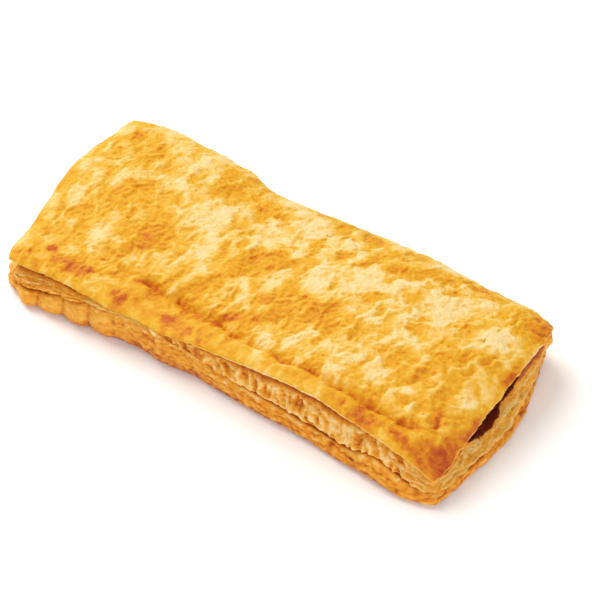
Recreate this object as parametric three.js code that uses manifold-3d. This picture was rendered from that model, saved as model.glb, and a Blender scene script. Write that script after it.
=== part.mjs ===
// Sausage roll: a sheet of puff pastry folded at the back round a strip of sausage meat, pressed shut along the
// front and cut across at both ends. +X runs along the roll, the sealed edge faces -Y, +Z is up. Millimetres.
import * as THREE from "three";
import { mergeVertices } from "three/addons/utils/BufferGeometryUtils.js";
import Module from "manifold-3d";

// ---- Driving dimensions ---------------------------------------------------------------------------------------
const HALF_LENGTH = 73; // from the middle to a corner of the top sheet
const HALF_WIDTH = 32;
const LEFT_EDGE = [[-32, -74.4], [-20, -74.2], [0, -74.4], [20, -74.8], [32, -74.6]];
const RIGHT_EDGE = [[-32, 73], [-14, 73.8], [0, 74.4], [14, 74.8], [32, 74.8]];
const FRONT_EDGE = [[-73, -32.2], [-40, -32], [-10, -31.6], [20, -31.4], [45, -31.8], [73, -32.4]];
const BACK_EDGE = [[-73, 33.2], [-62, 34.2], [-46, 34], [-33, 33], [-22, 31.2], [-8, 31.2], [10, 32.4], [30, 32.6],
  [48, 31.8], [73, 33.2]];
const CRUST_AT_CUT = 1.4; // how thin the top sheet is where the end cuts show it
const FLAT_INSET = 1.6; // how far the flat underside stays inside the top sheet's edge
const LIP = { cut: 0.7, front: 2 }; // how thick the top sheet's edge is at the cuts and along the front
const MITRE = 6; // how far from a corner the sides begin to turn into each other

// Heights and outlines along the roll are smooth curves through [position, value] pairs.
const FRONT_RIM = [[-73, 13.4], [-64, 14.6], [-50, 16], [-37, 14.8], [-22, 15], [-8, 16.6], [8, 19], [22, 20.6],
  [34, 20.8], [46, 18.8], [58, 16.6], [66, 14], [73, 9.4]];
const BACK_RIM = [[-73, 17.4], [-52, 18.2], [-34, 17.4], [-22, 16], [0, 16.2], [30, 17.4], [60, 16.8], [73, 14.8]];
const LEFT_RIM = [[-32, 13.4], [-20, 15.2], [-9, 18.8], [2, 21.6], [12, 20.6], [24, 18], [32, 17.4]];
const RIGHT_RIM = [[-32, 9.4], [-22, 11.6], [-10, 14.2], [4, 16.6], [16, 16.8], [26, 16], [32, 14.8]];
const FRONT_SEAM = [[-73, 5], [-64, 6.4], [-55, 9.4], [-46, 11.3], [-36, 13], [-26, 13.1], [-16, 12.4], [-6, 10.6],
  [2, 9.5], [16, 8.2], [32, 6.5], [45, 6], [53, 8.4], [60, 7], [66, 4.6], [73, 4.2]];
const FRONT_FOOT = [[-73, -1.2], [-64, 2], [-54, 0.9], [-44, 0.4], [-31, -0.6], [-19, 0], [-5, -0.7], [12, 0.2],
  [32, 0.8], [52, 2.3], [63, 2.6], [73, 1.6]];
const RIGHT_SEAM = [[-32, 4.2], [-20, 4.4], [-8, 3.6], [10, 3.4], [24, 4.4], [32, 5]];
const LEFT_SEAM = [[-32, 5], [-10, 5.6], [12, 5], [32, 6]];
const RIGHT_FOOT = [[-32, 0.8], [-22, 1.8], [-12, 3], [-3, 3.5], [8, 2.6], [18, -0.2], [26, -2.1], [32, -2.4]];
const LEFT_FOOT = 1;
const SHELF = { front: 0.3, left: 0.3, right: 0.8 }; // share of the foot that the flaky layers reach at the seam

const PRESS_LINE = [[-50, -20.5], [-30, -20.4], [-8, -21.6], [2, -24], [14, -25.2], [28, -26], [46, -25.5],
  [58, -24.4], [68, -21]]; // the groove that seals the front
const PRESS = { depth: 1.7, width: 1.6, from: -40, to: 66 };
const SHOULDER = { rise: 1.5, reach: 3 }; // how the sheet rolls over just inside its edge
const BLISTERS = [{ size: 11, height: 0.8 }, { size: 5.2, height: 0.75 }, { size: 3, height: 0.4 }];
const GRAIN = { angle: 0.62, stretch: 1.7 }; // the way that the dough was rolled, which draws the blisters out
const LOBES = { from: -70, to: -32, pitch: 8.8, depth: 0.7 }; // puffed lobes low on the front, near the left end

const TUNNEL = { halfWidth: 21, halfHeight: 5.2, height: 10.6, across: 1, taper: 20 };
const RIGHT_MOUTH = { halfWidth: 15.5, halfHeight: 3.6, across: 3 };
const LEFT_MOUTH = { halfWidth: 17, halfHeight: 5, across: 1 };
const MEAT = { gap: 0.35, rightEnd: 68.5, leftEnd: -69, crumb: 0.35, sag: 2.6 };

const TOP_CELLS = { along: 76, across: 34 };
const MEAT_CELLS = { along: 34, round: 22 };

// ---- Small mathematical helpers -------------------------------------------------------------------------------
const mix = (a, b, t) => a + (b - a) * t;
const clamp01 = (t) => Math.min(1, Math.max(0, t));
const ease = (t) => clamp01(t) ** 2 * (3 - 2 * clamp01(t));

// A smooth curve through [position, value] pairs, whose slope at a pair is that between its neighbours.
function through(pairs, at) {
  const last = pairs.length - 1;
  const slope = (i) => {
    const [a, b] = [pairs[Math.max(0, i - 1)], pairs[Math.min(last, i + 1)]];
    return (b[1] - a[1]) / (b[0] - a[0]);
  };
  const x = Math.min(pairs[last][0], Math.max(pairs[0][0], at));
  const i = Math.min(last - 1, pairs.findIndex((p, n) => n === last || x <= pairs[n + 1][0]));
  const [[x0, y0], [x1, y1]] = [pairs[i], pairs[i + 1]];
  const w = x1 - x0;
  const t = (x - x0) / w;
  return (
    y0 * (1 + 2 * t) * (1 - t) ** 2 + slope(i) * w * t * (1 - t) ** 2 +
    y1 * t * t * (3 - 2 * t) + slope(i + 1) * w * t * t * (t - 1)
  );
}

// Seeded value noise from -1 to 1 whose features are one unit across.
function scatter(i, j, seed) {
  const s = Math.sin(i * 127.1 + j * 311.7 + seed * 74.7) * 43758.5453;
  return 2 * (s - Math.floor(s)) - 1;
}
function noise(x, y, seed) {
  const [i, j] = [Math.floor(x), Math.floor(y)];
  const [u, v] = [ease(x - i), ease(y - j)];
  const near = mix(scatter(i, j, seed), scatter(i + 1, j, seed), u);
  const far = mix(scatter(i, j + 1, seed), scatter(i + 1, j + 1, seed), u);
  return mix(near, far, v);
}

// ---- The top sheet --------------------------------------------------------------------------------------------
const leftEdge = (b) => through(LEFT_EDGE, b * HALF_WIDTH) + 0.3 * noise(b * 7, 0, 3);
const rightEdge = (b) => through(RIGHT_EDGE, b * HALF_WIDTH);
const frontEdge = (x) => through(FRONT_EDGE, x) + 0.35 * noise(x / 6, 0, 5);
const backEdge = (x) => through(BACK_EDGE, x) + 0.4 * noise(x / 7, 3, 6);

// Where the point (a, b) of a square from -1 to 1 lies in plan. The square's corners are drawn in a little.
function plan(a, b) {
  const corner = (a * b) ** 10;
  return [
    mix(leftEdge(b), rightEdge(b), (a + 1) / 2) * (1 - 0.016 * corner),
    mix(frontEdge(a * HALF_LENGTH), backEdge(a * HALF_LENGTH), (b + 1) / 2) * (1 - 0.036 * corner),
  ];
}

// The blistered surface that puffing gives the sheet, before its edges and grooves.
function blisters(x, y) {
  const [c, s] = [Math.cos(GRAIN.angle), Math.sin(GRAIN.angle)];
  const along = (x * c + y * s) / GRAIN.stretch + 2 * noise(x / 9, y / 9, 11);
  const across = y * c - x * s + 2 * noise(x / 8, y / 8, 12);
  return BLISTERS.reduce((sum, { size, height }, n) => sum + height * noise(along / size, across / size, 20 + n), 0);
}

// Height of the top at (a, b): a patch hung on the four rims, rolled over at its edges and pressed along the front.
function topHeight(a, b) {
  const [u, v] = [(a + 1) / 2, (b + 1) / 2];
  const [x, y] = plan(a, b);
  const [front, back] = [through(FRONT_RIM, a * HALF_LENGTH), through(BACK_RIM, a * HALF_LENGTH)];
  const [left, right] = [through(LEFT_RIM, b * HALF_WIDTH), through(RIGHT_RIM, b * HALF_WIDTH)];
  const corners = mix(
    mix(FRONT_RIM[0][1], FRONT_RIM.at(-1)[1], u),
    mix(BACK_RIM[0][1], BACK_RIM.at(-1)[1], u),
    v,
  );
  const patch = mix(front, back, v) + mix(left, right, u) - corners;
  const inside = (distance) => 1 - Math.exp(-distance / SHOULDER.reach);
  const roll = inside((1 - Math.abs(b)) * HALF_WIDTH) * inside((1 - Math.abs(a)) * HALF_LENGTH);
  const pressed = ease((x - PRESS.from) / 12) * ease((PRESS.to - x) / 8) * (0.75 + 0.4 * noise(x / 5, 9, 7));
  const groove = Math.exp(-(((y - through(PRESS_LINE, x) - 0.6 * noise(x / 5, 1, 7)) / PRESS.width) ** 2));
  const relief = blisters(x, y) * mix(0.35, 1, roll);
  return patch + SHOULDER.rise * roll - PRESS.depth * pressed * groove + relief;
}

// ---- The sides ------------------------------------------------------------------------------------------------
// Each profile gives [outward, height] rows from just under the rim down to the flat underside. A sealed or cut
// side has the sheet's lip, a hollow under it, flaky layers that step out to the seam, and the base sheet's bulge.
function cutProfile(rim, seam, shelf, foot, along, seed, lip = LIP.cut) {
  const band = rim - seam;
  const hollow = Math.min(2.8, 0.22 * band);
  const flake = (row) => 0.45 * noise(along / 2.6, row * 1.3, seed);
  return [
    [0.15, rim - Math.min(lip, 0.2 * band)],
    [-0.5 * hollow, rim - 0.27 * band],
    [-hollow + flake(1), rim - 0.36 * band],
    [-0.7 * hollow + flake(2), rim - 0.5 * band],
    [-0.3 * hollow + flake(3), rim - 0.66 * band],
    [shelf * foot + 0.3 + flake(4), rim - 0.84 * band],
    [shelf * foot - 0.9, seam],
    [mix(shelf, 1, 0.6) * foot + 0.3, 0.86 * seam],
    [foot + 0.7, 0.55 * seam],
    [foot + 0.3, 0.22 * seam],
    [Math.min(foot, 1) - FLAT_INSET, 0],
  ];
}
const ROWS = 11;

function frontProfile(x) {
  const lobes = ease((x - LOBES.from) / 4) * ease((LOBES.to - x) / 6) *
    LOBES.depth * Math.abs(Math.sin((Math.PI * (x - LOBES.from)) / LOBES.pitch));
  const rim = through(FRONT_RIM, x);
  const seam = Math.min(through(FRONT_SEAM, x), rim - 1.6);
  return cutProfile(rim, seam, SHELF.front, through(FRONT_FOOT, x) + lobes, x, 31, LIP.front);
}
const rightProfile = (y) =>
  cutProfile(through(RIGHT_RIM, y), through(RIGHT_SEAM, y), SHELF.right, through(RIGHT_FOOT, y), y, 32);
const leftProfile = (y) => cutProfile(through(LEFT_RIM, y), through(LEFT_SEAM, y), SHELF.left, LEFT_FOOT, y, 33);

// The folded back has no edge to show: it is one round bulge.
function backProfile(x) {
  const rim = through(BACK_RIM, x);
  return Array.from({ length: ROWS }, (_, n) => {
    const turn = (Math.PI * (n + 1)) / ROWS;
    const dent = 0.35 * noise(x / 6, n * 0.5, 34);
    const outward = n === ROWS - 1 ? -2.2 : 1.9 * Math.sin(turn) - 2.2 * (turn / Math.PI) ** 3 + dent;
    return [outward, (rim / 2) * (1 + Math.cos(turn))];
  });
}

const SIDES = [
  { half: HALF_LENGTH, reach: 5, at: (t) => [t, -1], profile: (t) => frontProfile(t * HALF_LENGTH) },
  { half: HALF_WIDTH, reach: 4, at: (t) => [1, t], profile: (t) => rightProfile(t * HALF_WIDTH) },
  { half: HALF_LENGTH, reach: 5, at: (t) => [-t, 1], profile: (t) => backProfile(-t * HALF_LENGTH) },
  { half: HALF_WIDTH, reach: 4, at: (t) => [-1, -t], profile: (t) => leftProfile(-t * HALF_WIDTH) },
];

// The profile at t along a side, turning into the next side's over the last few millimetres before a corner.
function blendedProfile(side, t) {
  const own = SIDES[side];
  const next = SIDES[(side + (t > 0 ? 1 : 3)) % 4];
  const share = 0.5 * (1 - ease(((1 - Math.abs(t)) * own.half) / own.reach));
  const other = next.profile(t > 0 ? -1 : 1);
  return own.profile(t).map(([outward, height], row) => [
    mix(outward, other[row][0], share),
    mix(height, other[row][1], share),
  ]);
}

// The direction that a side faces at t. Near a corner it leans towards the corner, so that rows stay mitred.
function outwards(side, t, step) {
  const [p, q] = [plan(...side.at(Math.max(-1, t - step))), plan(...side.at(Math.min(1, t + step)))];
  const length = Math.hypot(q[0] - p[0], q[1] - p[1]);
  const [dx, dy] = [(q[0] - p[0]) / length, (q[1] - p[1]) / length];
  const lean = Math.sign(t) * Math.max(0, 1 - ((1 - Math.abs(t)) * side.half) / MITRE);
  return [dy + lean * dx, lean * dy - dx];
}

// ---- Meshes and solids ----------------------------------------------------------------------------------------
const wasm = await Module();
wasm.setup();

function geometryOf(vertices, triangles) {
  const geometry = new THREE.BufferGeometry();
  geometry.setAttribute("position", new THREE.Float32BufferAttribute(vertices.flat(), 3));
  geometry.setIndex(triangles.flat());
  return geometry;
}
function solidOf(geometry) {
  const merged = mergeVertices(geometry, 1e-4);
  return new wasm.Manifold(
    new wasm.Mesh({
      numProp: 3,
      vertProperties: merged.attributes.position.array,
      triVerts: new Uint32Array(merged.index.array),
    }),
  );
}
function geometryFrom(solid) {
  const mesh = solid.getMesh();
  const geometry = new THREE.BufferGeometry();
  geometry.setAttribute("position", new THREE.BufferAttribute(mesh.vertProperties, 3));
  geometry.setIndex(new THREE.BufferAttribute(mesh.triVerts, 1));
  geometry.computeVertexNormals();
  return geometry;
}

// The closed outer shape: a grid for the top, rows of a ring down the sides, and one flat polygon underneath.
function pastryShell() {
  const { along, across } = TOP_CELLS;
  const vertices = [];
  const triangles = [];
  const at = (i, j) => i * (across + 1) + j;
  for (let i = 0; i <= along; i++) {
    for (let j = 0; j <= across; j++) {
      const [a, b] = [(2 * i) / along - 1, (2 * j) / across - 1];
      vertices.push([...plan(a, b), topHeight(a, b)]);
    }
  }
  for (let i = 0; i < along; i++) {
    for (let j = 0; j < across; j++) {
      const [p, q, r, s] = [at(i, j), at(i + 1, j), at(i + 1, j + 1), at(i, j + 1)];
      triangles.push([p, q, r], [p, r, s]);
    }
  }
  const ring = [];
  SIDES.forEach((side, n) => {
    const cells = n % 2 ? across : along;
    for (let k = 0; k < cells; k++) {
      const t = (2 * k) / cells - 1;
      const [a, b] = side.at(t);
      const index = at(Math.round(((a + 1) / 2) * along), Math.round(((b + 1) / 2) * across));
      ring.push({ index, point: vertices[index], out: outwards(side, t, 2 / cells), rows: blendedProfile(n, t) });
    }
  });
  const rimHeights = ring.map(({ point }) => point[2]);
  let upper = ring.map(({ index }) => index);
  for (let row = 0; row < ROWS; row++) {
    const lower = ring.map(({ point, out, rows }, k) => {
      const [outward, height] = rows[row];
      const drop = rimHeights[k] - rows[0][1]; // the rim's own relief fades out on the way down
      const z = height + (drop - 0.6) * Math.max(0, 1 - (row + 1) / 5);
      vertices.push([point[0] + out[0] * outward, point[1] + out[1] * outward, Math.max(0, z)]);
      return vertices.length - 1;
    });
    lower.forEach((_, k) => {
      const next = (k + 1) % ring.length;
      triangles.push([lower[k], lower[next], upper[next]], [lower[k], upper[next], upper[k]]);
    });
    upper = lower;
  }
  const outline = upper.map((index) => new THREE.Vector2(vertices[index][0], vertices[index][1]));
  THREE.ShapeUtils.triangulateShape(outline, []).forEach(([p, q, r]) =>
    triangles.push([upper[p], upper[r], upper[q]]),
  );
  return solidOf(geometryOf(vertices, triangles));
}

// A point of the tunnel that the meat fills. Towards each cut its roof rises to the top sheet's edge, and the meat
// sinks away from it, which leaves the dark gap that the cut shows.
function tunnelPoint(x, turn, inset) {
  const { halfWidth, halfHeight, height, across, taper } = TUNNEL;
  const mouth = x < 0 ? LEFT_MOUTH : RIGHT_MOUTH;
  const end = ease((Math.abs(x) - (HALF_LENGTH - taper)) / taper);
  const [c, s] = [Math.cos(turn), Math.sin(turn)];
  const squared = Math.sign(c) * Math.abs(c) ** 0.85;
  const y = mix(across, mouth.across, end) + (mix(halfWidth, mouth.halfWidth, end) - inset) * squared;
  const rim = through(x < 0 ? LEFT_RIM : RIGHT_RIM, y);
  const atCut = rim - CRUST_AT_CUT - mouth.halfHeight * (Math.abs(s) - s);
  const sag = inset ? MEAT.sag * end * Math.max(0, s) : 0;
  return [x, y, mix(height + halfHeight * s, atCut, end) - inset * s - sag];
}

// A closed tube of rings along x, whose ends are drawn to a point so that they dome.
function tube(stations, inset, bulge) {
  const { round } = MEAT_CELLS;
  const vertices = [];
  const triangles = [];
  stations.forEach((x) => {
    for (let k = 0; k < round; k++) {
      const turn = (2 * Math.PI * k) / round;
      const grit = inset ? MEAT.crumb * (noise(x / 5, turn * 3, 41) - 1) : 0;
      vertices.push(tunnelPoint(x, turn, inset - grit));
    }
  });
  for (let i = 0; i + 1 < stations.length; i++) {
    for (let k = 0; k < round; k++) {
      const next = (k + 1) % round;
      const [p, q, r, s] = [i * round + k, i * round + next, (i + 1) * round + next, (i + 1) * round + k];
      triangles.push([p, q, r], [p, r, s]);
    }
  }
  [0, stations.length - 1].forEach((i) => {
    const ring = vertices.slice(i * round, (i + 1) * round);
    const centre = [0, 1, 2].map((axis) => ring.reduce((sum, v) => sum + v[axis], 0) / round);
    const way = i ? 1 : -1;
    const loops = [0.6, 0.25].map((share) => {
      const start = vertices.length;
      ring.forEach((v) => vertices.push([
        v[0] + way * bulge * (1 - share * share),
        mix(centre[1], v[1], share),
        mix(centre[2], v[2], share),
      ]));
      return start;
    });
    const tip = vertices.push([centre[0] + way * bulge, centre[1], centre[2]]) - 1;
    const starts = [i * round, ...loops];
    for (let k = 0; k < round; k++) {
      const next = (k + 1) % round;
      const add = (p, q, r) => triangles.push(i ? [p, q, r] : [p, r, q]);
      for (let n = 0; n + 1 < starts.length; n++) {
        add(starts[n] + k, starts[n] + next, starts[n + 1] + next);
        add(starts[n] + k, starts[n + 1] + next, starts[n + 1] + k);
      }
      add(starts.at(-1) + k, starts.at(-1) + next, tip);
    }
  });
  return solidOf(geometryOf(vertices, triangles));
}

const stationsFrom = (from, to, cells) => Array.from({ length: cells + 1 }, (_, n) => mix(from, to, n / cells));

const tunnel = tube(stationsFrom(-HALF_LENGTH - 12, HALF_LENGTH + 14, 32), 0, 1);
const pastry = pastryShell().subtract(tunnel);
const meat = tube(stationsFrom(MEAT.leftEnd, MEAT.rightEnd, MEAT_CELLS.along), MEAT.gap, 1.2);

// ---- The object -----------------------------------------------------------------------------------------------
const pastryFinish = new THREE.MeshStandardMaterial({ color: 0xeda73c, roughness: 0.55, metalness: 0 });
const meatFinish = new THREE.MeshStandardMaterial({ color: 0x8a4a35, roughness: 0.5, metalness: 0 });

function named(name, solid, finish) {
  const mesh = new THREE.Mesh(geometryFrom(solid), finish);
  mesh.name = name;
  return mesh;
}

const roll = new THREE.Group();
roll.add(named("pastry", pastry, pastryFinish), named("sausage_meat", meat, meatFinish));
const box = new THREE.Box3().setFromObject(roll);
const middle = box.getCenter(new THREE.Vector3());
roll.position.set(-middle.x, -middle.y, -box.min.z); // the origin is the middle of the box's underside
export default roll;
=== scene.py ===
# %% [markdown]
# # A sausage roll
# A long flat sausage roll: a sheet of puff pastry folded at the back round a strip of sausage meat, pressed
# shut along the front and cut across at both ends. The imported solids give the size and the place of
# everything. The pastry is then made again here, much finer, because what tells the eye that this is puff
# pastry is its surface: blisters, torn flakes, a ragged layered edge and a colour that follows how hard each
# spot was baked.

# %% Load the frame
import math
import bpy
import numpy as np
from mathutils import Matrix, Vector


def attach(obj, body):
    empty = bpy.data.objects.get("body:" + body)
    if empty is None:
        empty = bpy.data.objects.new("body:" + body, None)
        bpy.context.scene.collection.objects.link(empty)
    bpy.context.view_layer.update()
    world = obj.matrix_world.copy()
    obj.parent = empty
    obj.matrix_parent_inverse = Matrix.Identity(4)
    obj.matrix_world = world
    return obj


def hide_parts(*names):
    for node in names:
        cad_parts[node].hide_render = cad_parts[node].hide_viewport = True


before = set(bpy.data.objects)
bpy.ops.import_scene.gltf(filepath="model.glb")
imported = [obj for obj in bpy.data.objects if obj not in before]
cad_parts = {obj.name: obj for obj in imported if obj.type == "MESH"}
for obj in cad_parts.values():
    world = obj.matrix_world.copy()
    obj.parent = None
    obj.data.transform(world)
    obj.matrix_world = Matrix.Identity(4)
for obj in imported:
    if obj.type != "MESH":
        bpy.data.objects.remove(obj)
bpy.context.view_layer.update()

# %% [markdown]
# ## The measures
# A baker would note a roll's length and width and how high it rose. Here each edge of the folded sheet is a
# short list of places and heights along it, in millimetres, and a smooth curve runs through them. These are
# the measures that the solids were made from too, so the fine pastry lies where the solid does, to a
# millimetre or two.

# %% Measures of the roll, in millimetres
HALF_LENGTH, HALF_WIDTH = 73.0, 32.0
MIDDLE = np.array([-0.951, -0.295, 0.0])  # moves the roll's own middle onto the frame's origin
# The edges of the top sheet seen from above: a place along the edge, and where the edge is there.
LEFT_EDGE = [(-32, -74.4), (-20, -74.2), (0, -74.4), (20, -74.8), (32, -74.6)]
RIGHT_EDGE = [(-32, 73), (-14, 73.8), (0, 74.4), (14, 74.8), (32, 74.8)]
FRONT_EDGE = [(-73, -32.2), (-40, -32), (-10, -31.6), (20, -31.4), (45, -31.8), (73, -32.4)]
BACK_EDGE = [(-73, 33.2), (-62, 34.2), (-46, 34), (-33, 33), (-22, 31.2), (-8, 31.2), (10, 32.4), (30, 32.6),
             (48, 31.8), (73, 33.2)]
# The heights of those edges.
FRONT_RIM = [(-73, 13.4), (-64, 14.6), (-50, 16), (-37, 14.8), (-22, 15), (-8, 16.6), (8, 19), (22, 20.6),
             (34, 20.8), (46, 18.8), (58, 16.6), (66, 14), (73, 9.4)]
BACK_RIM = [(-73, 17.4), (-52, 18.2), (-34, 17.4), (-22, 16), (0, 16.2), (30, 17.4), (60, 16.8), (73, 14.8)]
LEFT_RIM = [(-32, 13.4), (-20, 15.2), (-9, 18.8), (2, 21.6), (12, 20.6), (24, 18), (32, 17.4)]
RIGHT_RIM = [(-32, 9.4), (-22, 11.6), (-10, 14.2), (4, 16.6), (16, 16.8), (26, 16), (32, 14.8)]
# The heights of the seam where the two sheets meet, and how far the base sheet bulges out below it.
FRONT_SEAM = [(-73, 5), (-64, 6.4), (-55, 9.4), (-46, 11.3), (-36, 13), (-26, 13.1), (-16, 12.4), (-6, 10.6),
              (2, 9.5), (16, 8.2), (32, 6.5), (45, 6), (53, 8.4), (60, 7), (66, 4.6), (73, 4.2)]
FRONT_FOOT = [(-73, -1.2), (-64, 2), (-54, 0.9), (-44, 0.4), (-31, -0.6), (-19, 0), (-5, -0.7), (12, 0.2),
              (32, 0.8), (52, 2.3), (63, 2.6), (73, 1.6)]
RIGHT_SEAM = [(-32, 4.2), (-20, 4.4), (-8, 3.6), (10, 3.4), (24, 4.4), (32, 5)]
LEFT_SEAM = [(-32, 5), (-10, 5.6), (12, 5), (32, 6)]
RIGHT_FOOT = [(-32, 0.8), (-22, 1.8), (-12, 3), (-3, 3.5), (8, 2.6), (18, -0.2), (26, -2.1), (32, -2.4)]
LEFT_FOOT = 1.0
print(f"{2 * HALF_LENGTH:.0f} mm long and {2 * HALF_WIDTH:.0f} mm wide between the corners of the top sheet")

# %% [markdown]
# ## Curves and noise
# Dough is uneven at every scale, so nearly every shape below is a smooth rule plus some noise. Two kinds of
# noise are enough: one that jumps between random heights, for the broad blisters, and one with random slopes,
# for wrinkles and flakes. Both take a seed, so the roll comes out the same every time. The sums are done on
# whole arrays of points at once, which is hundreds of times faster than visiting the points one by one.

# %% Curves
def mix(a, b, share):
    return a + (b - a) * share

def ease(share):
    """A share kept between 0 and 1, with a soft start and end."""
    share = np.clip(share, 0.0, 1.0)
    return share * share * (3 - 2 * share)

def through(pairs, at):
    """A smooth curve through the pairs, whose slope at a pair is that between its neighbours."""
    xs, ys = np.array(pairs, float).T
    slope = np.empty(len(xs))
    slope[1:-1] = (ys[2:] - ys[:-2]) / (xs[2:] - xs[:-2])
    slope[0], slope[-1] = (ys[1] - ys[0]) / (xs[1] - xs[0]), (ys[-1] - ys[-2]) / (xs[-1] - xs[-2])
    x = np.clip(at, xs[0], xs[-1])
    i = np.clip(np.searchsorted(xs, x) - 1, 0, len(xs) - 2)
    width = xs[i + 1] - xs[i]
    t = (x - xs[i]) / width
    return (ys[i] * (1 + 2 * t) * (1 - t) ** 2 + slope[i] * width * t * (1 - t) ** 2
            + ys[i + 1] * t * t * (3 - 2 * t) + slope[i + 1] * width * t * t * (t - 1))

print(f"halfway along, the front edge is {through(FRONT_RIM, 0):.1f} mm high")

# %% Noise
def scatter(i, j, seed):
    """A number from -1 to 1 for each place of a lattice, the same in every run."""
    s = np.sin(i * 127.1 + j * 311.7 + seed * 74.7) * 43758.5453
    return 2 * (s - np.floor(s)) - 1

def blotches(x, y, seed):
    """Noise from -1 to 1 between random heights one unit apart."""
    x, y = np.broadcast_arrays(np.asarray(x, float), np.asarray(y, float))
    i, j = np.floor(x), np.floor(y)
    u, v = ease(x - i), ease(y - j)
    near = mix(scatter(i, j, seed), scatter(i + 1, j, seed), u)
    far = mix(scatter(i, j + 1, seed), scatter(i + 1, j + 1, seed), u)
    return mix(near, far, v)

def wrinkles(x, y, seed):
    """Noise from about -1 to 1 with random slopes one unit apart."""
    x, y = np.broadcast_arrays(np.asarray(x, float), np.asarray(y, float))
    i, j = np.floor(x), np.floor(y)
    fx, fy = x - i, y - j

    def pull(di, dj):
        angle = math.pi * scatter(i + di, j + dj, seed)
        return np.cos(angle) * (fx - di) + np.sin(angle) * (fy - dj)

    u, v = (f * f * f * (f * (6 * f - 15) + 10) for f in (fx, fy))
    return 1.55 * mix(mix(pull(0, 0), pull(1, 0), u), mix(pull(0, 1), pull(1, 1), u), v)

sample = wrinkles(np.linspace(0, 50, 999), np.linspace(0, 31, 999), 1)
print(f"wrinkle noise runs from {sample.min():.2f} to {sample.max():.2f}")

# %% [markdown]
# ## The top sheet
# Puff pastry rises because its thin layers of dough trap steam. The top sheet domes, its edge rolls over, and
# its skin blisters. It could be sculpted by hand, but a patch hung on the heights of the four edges has the
# dome already. On it go the broad blisters that the solid also has, and the groove where the front was
# pressed shut.

# %% The plan of the top
def plan(a, b):
    """Where the point (a, b) of a square from -1 to 1 lies on the roll."""
    x, y = a * HALF_LENGTH, b * HALF_WIDTH
    corner = np.where((a > 0) & (b > 0), 1.6, 1.1) * (a * b) ** 10  # rounds the corners off a little
    left = through(LEFT_EDGE, y) + 0.3 * blotches(b * 7, 0, 3)
    right = through(RIGHT_EDGE, y) + 0.35 * wrinkles(b * 9, 0.5, 4) + 0.22 * wrinkles(b * 26, 0.5, 10)
    front = through(FRONT_EDGE, x) + 0.35 * blotches(x / 6, 0, 5) + 0.22 * wrinkles(x / 1.4, 0.5, 9)
    back = through(BACK_EDGE, x) + 0.4 * blotches(x / 7, 3, 6)
    return (mix(left, right, (a + 1) / 2) * (1 - 0.016 * corner),
            mix(front, back, (b + 1) / 2) * (1 - 0.036 * corner))

print("the middle of the right edge is at", [round(float(value), 1) for value in plan(1.0, 0.0)])

# %% Broad blisters
GRAIN_ANGLE, GRAIN_STRETCH = 0.62, 1.7
BLISTERS = [(11, 0.8), (5.2, 0.35), (3, 0.1)]  # size and height

def broad_blisters(x, y):
    c, s = math.cos(GRAIN_ANGLE), math.sin(GRAIN_ANGLE)
    along = (x * c + y * s) / GRAIN_STRETCH + 2 * blotches(x / 9, y / 9, 11)
    across = y * c - x * s + 2 * blotches(x / 8, y / 8, 12)
    return sum(height * blotches(along / size, across / size, 20 + n)
               for n, (size, height) in enumerate(BLISTERS))

print("blisters of", len(BLISTERS), "sizes, the largest", BLISTERS[0][1], "mm high")

# %% The pressed groove
PRESS_LINE = [(-50, -20.5), (-30, -20.4), (-8, -21.6), (2, -24), (14, -25.2), (28, -26), (46, -25.5),
              (58, -24.4), (68, -21)]
GROOVE_DEPTH, GROOVE_WIDTH, CREASE_WIDTH = 2.2, 1.5, 0.45

def pressed_groove(x, y):
    """The groove where the front was pressed shut: its depth in millimetres, and the sharp crease in it."""
    strength = ease((x + 40) / 12) * ease((66 - x) / 8) * (0.75 + 0.4 * blotches(x / 5, 9, 7))
    away = y - through(PRESS_LINE, x) - 0.6 * blotches(x / 5, 1, 7)
    crease = ease((x + 52) / 6) * ease((72 - x) / 6) * ease(0.75 + 0.8 * wrinkles(x / 4, 0.5, 8))
    return (GROOVE_DEPTH * strength * np.exp(-(away / GROOVE_WIDTH) ** 2),
            crease * np.exp(-(away / CREASE_WIDTH) ** 2))

def front_roll(x, y):
    """1 on the smooth roll between the pressed groove and the front edge."""
    return ease((through(PRESS_LINE, x) - y) / 1.6) * ease((x + 46) / 10)

print(f"the groove is about {GROOVE_DEPTH} mm deep, and the crease in it {2 * CREASE_WIDTH:.1f} mm wide")

# %% The dome
EDGE_ROLL, EDGE_DROP = 3.0, 1.5  # how wide and how deep the sheet's edge rolls over

def rolled_edge(a, b):
    """0 on the sheet's edge, rising to 1 a few millimetres inside it."""
    inside = lambda distance: 1 - np.exp(-distance / EDGE_ROLL)
    return inside((1 - np.abs(b)) * HALF_WIDTH) * inside((1 - np.abs(a)) * HALF_LENGTH)

def dome(a, b):
    """Height of the top without its groove and relief."""
    u, v = (a + 1) / 2, (b + 1) / 2
    front, back = through(FRONT_RIM, a * HALF_LENGTH), through(BACK_RIM, a * HALF_LENGTH)
    left, right = through(LEFT_RIM, b * HALF_WIDTH), through(RIGHT_RIM, b * HALF_WIDTH)
    corners = mix(mix(FRONT_RIM[0][1], FRONT_RIM[-1][1], u), mix(BACK_RIM[0][1], BACK_RIM[-1][1], u), v)
    return mix(front, back, v) + mix(left, right, u) - corners + EDGE_DROP * rolled_edge(a, b)

top_sample = dome(np.linspace(-0.9, 0.9, 50)[:, None], np.linspace(-0.9, 0.9, 20)[None, :])
print(f"the dome is {top_sample.min():.1f} to {top_sample.max():.1f} mm high")

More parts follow.
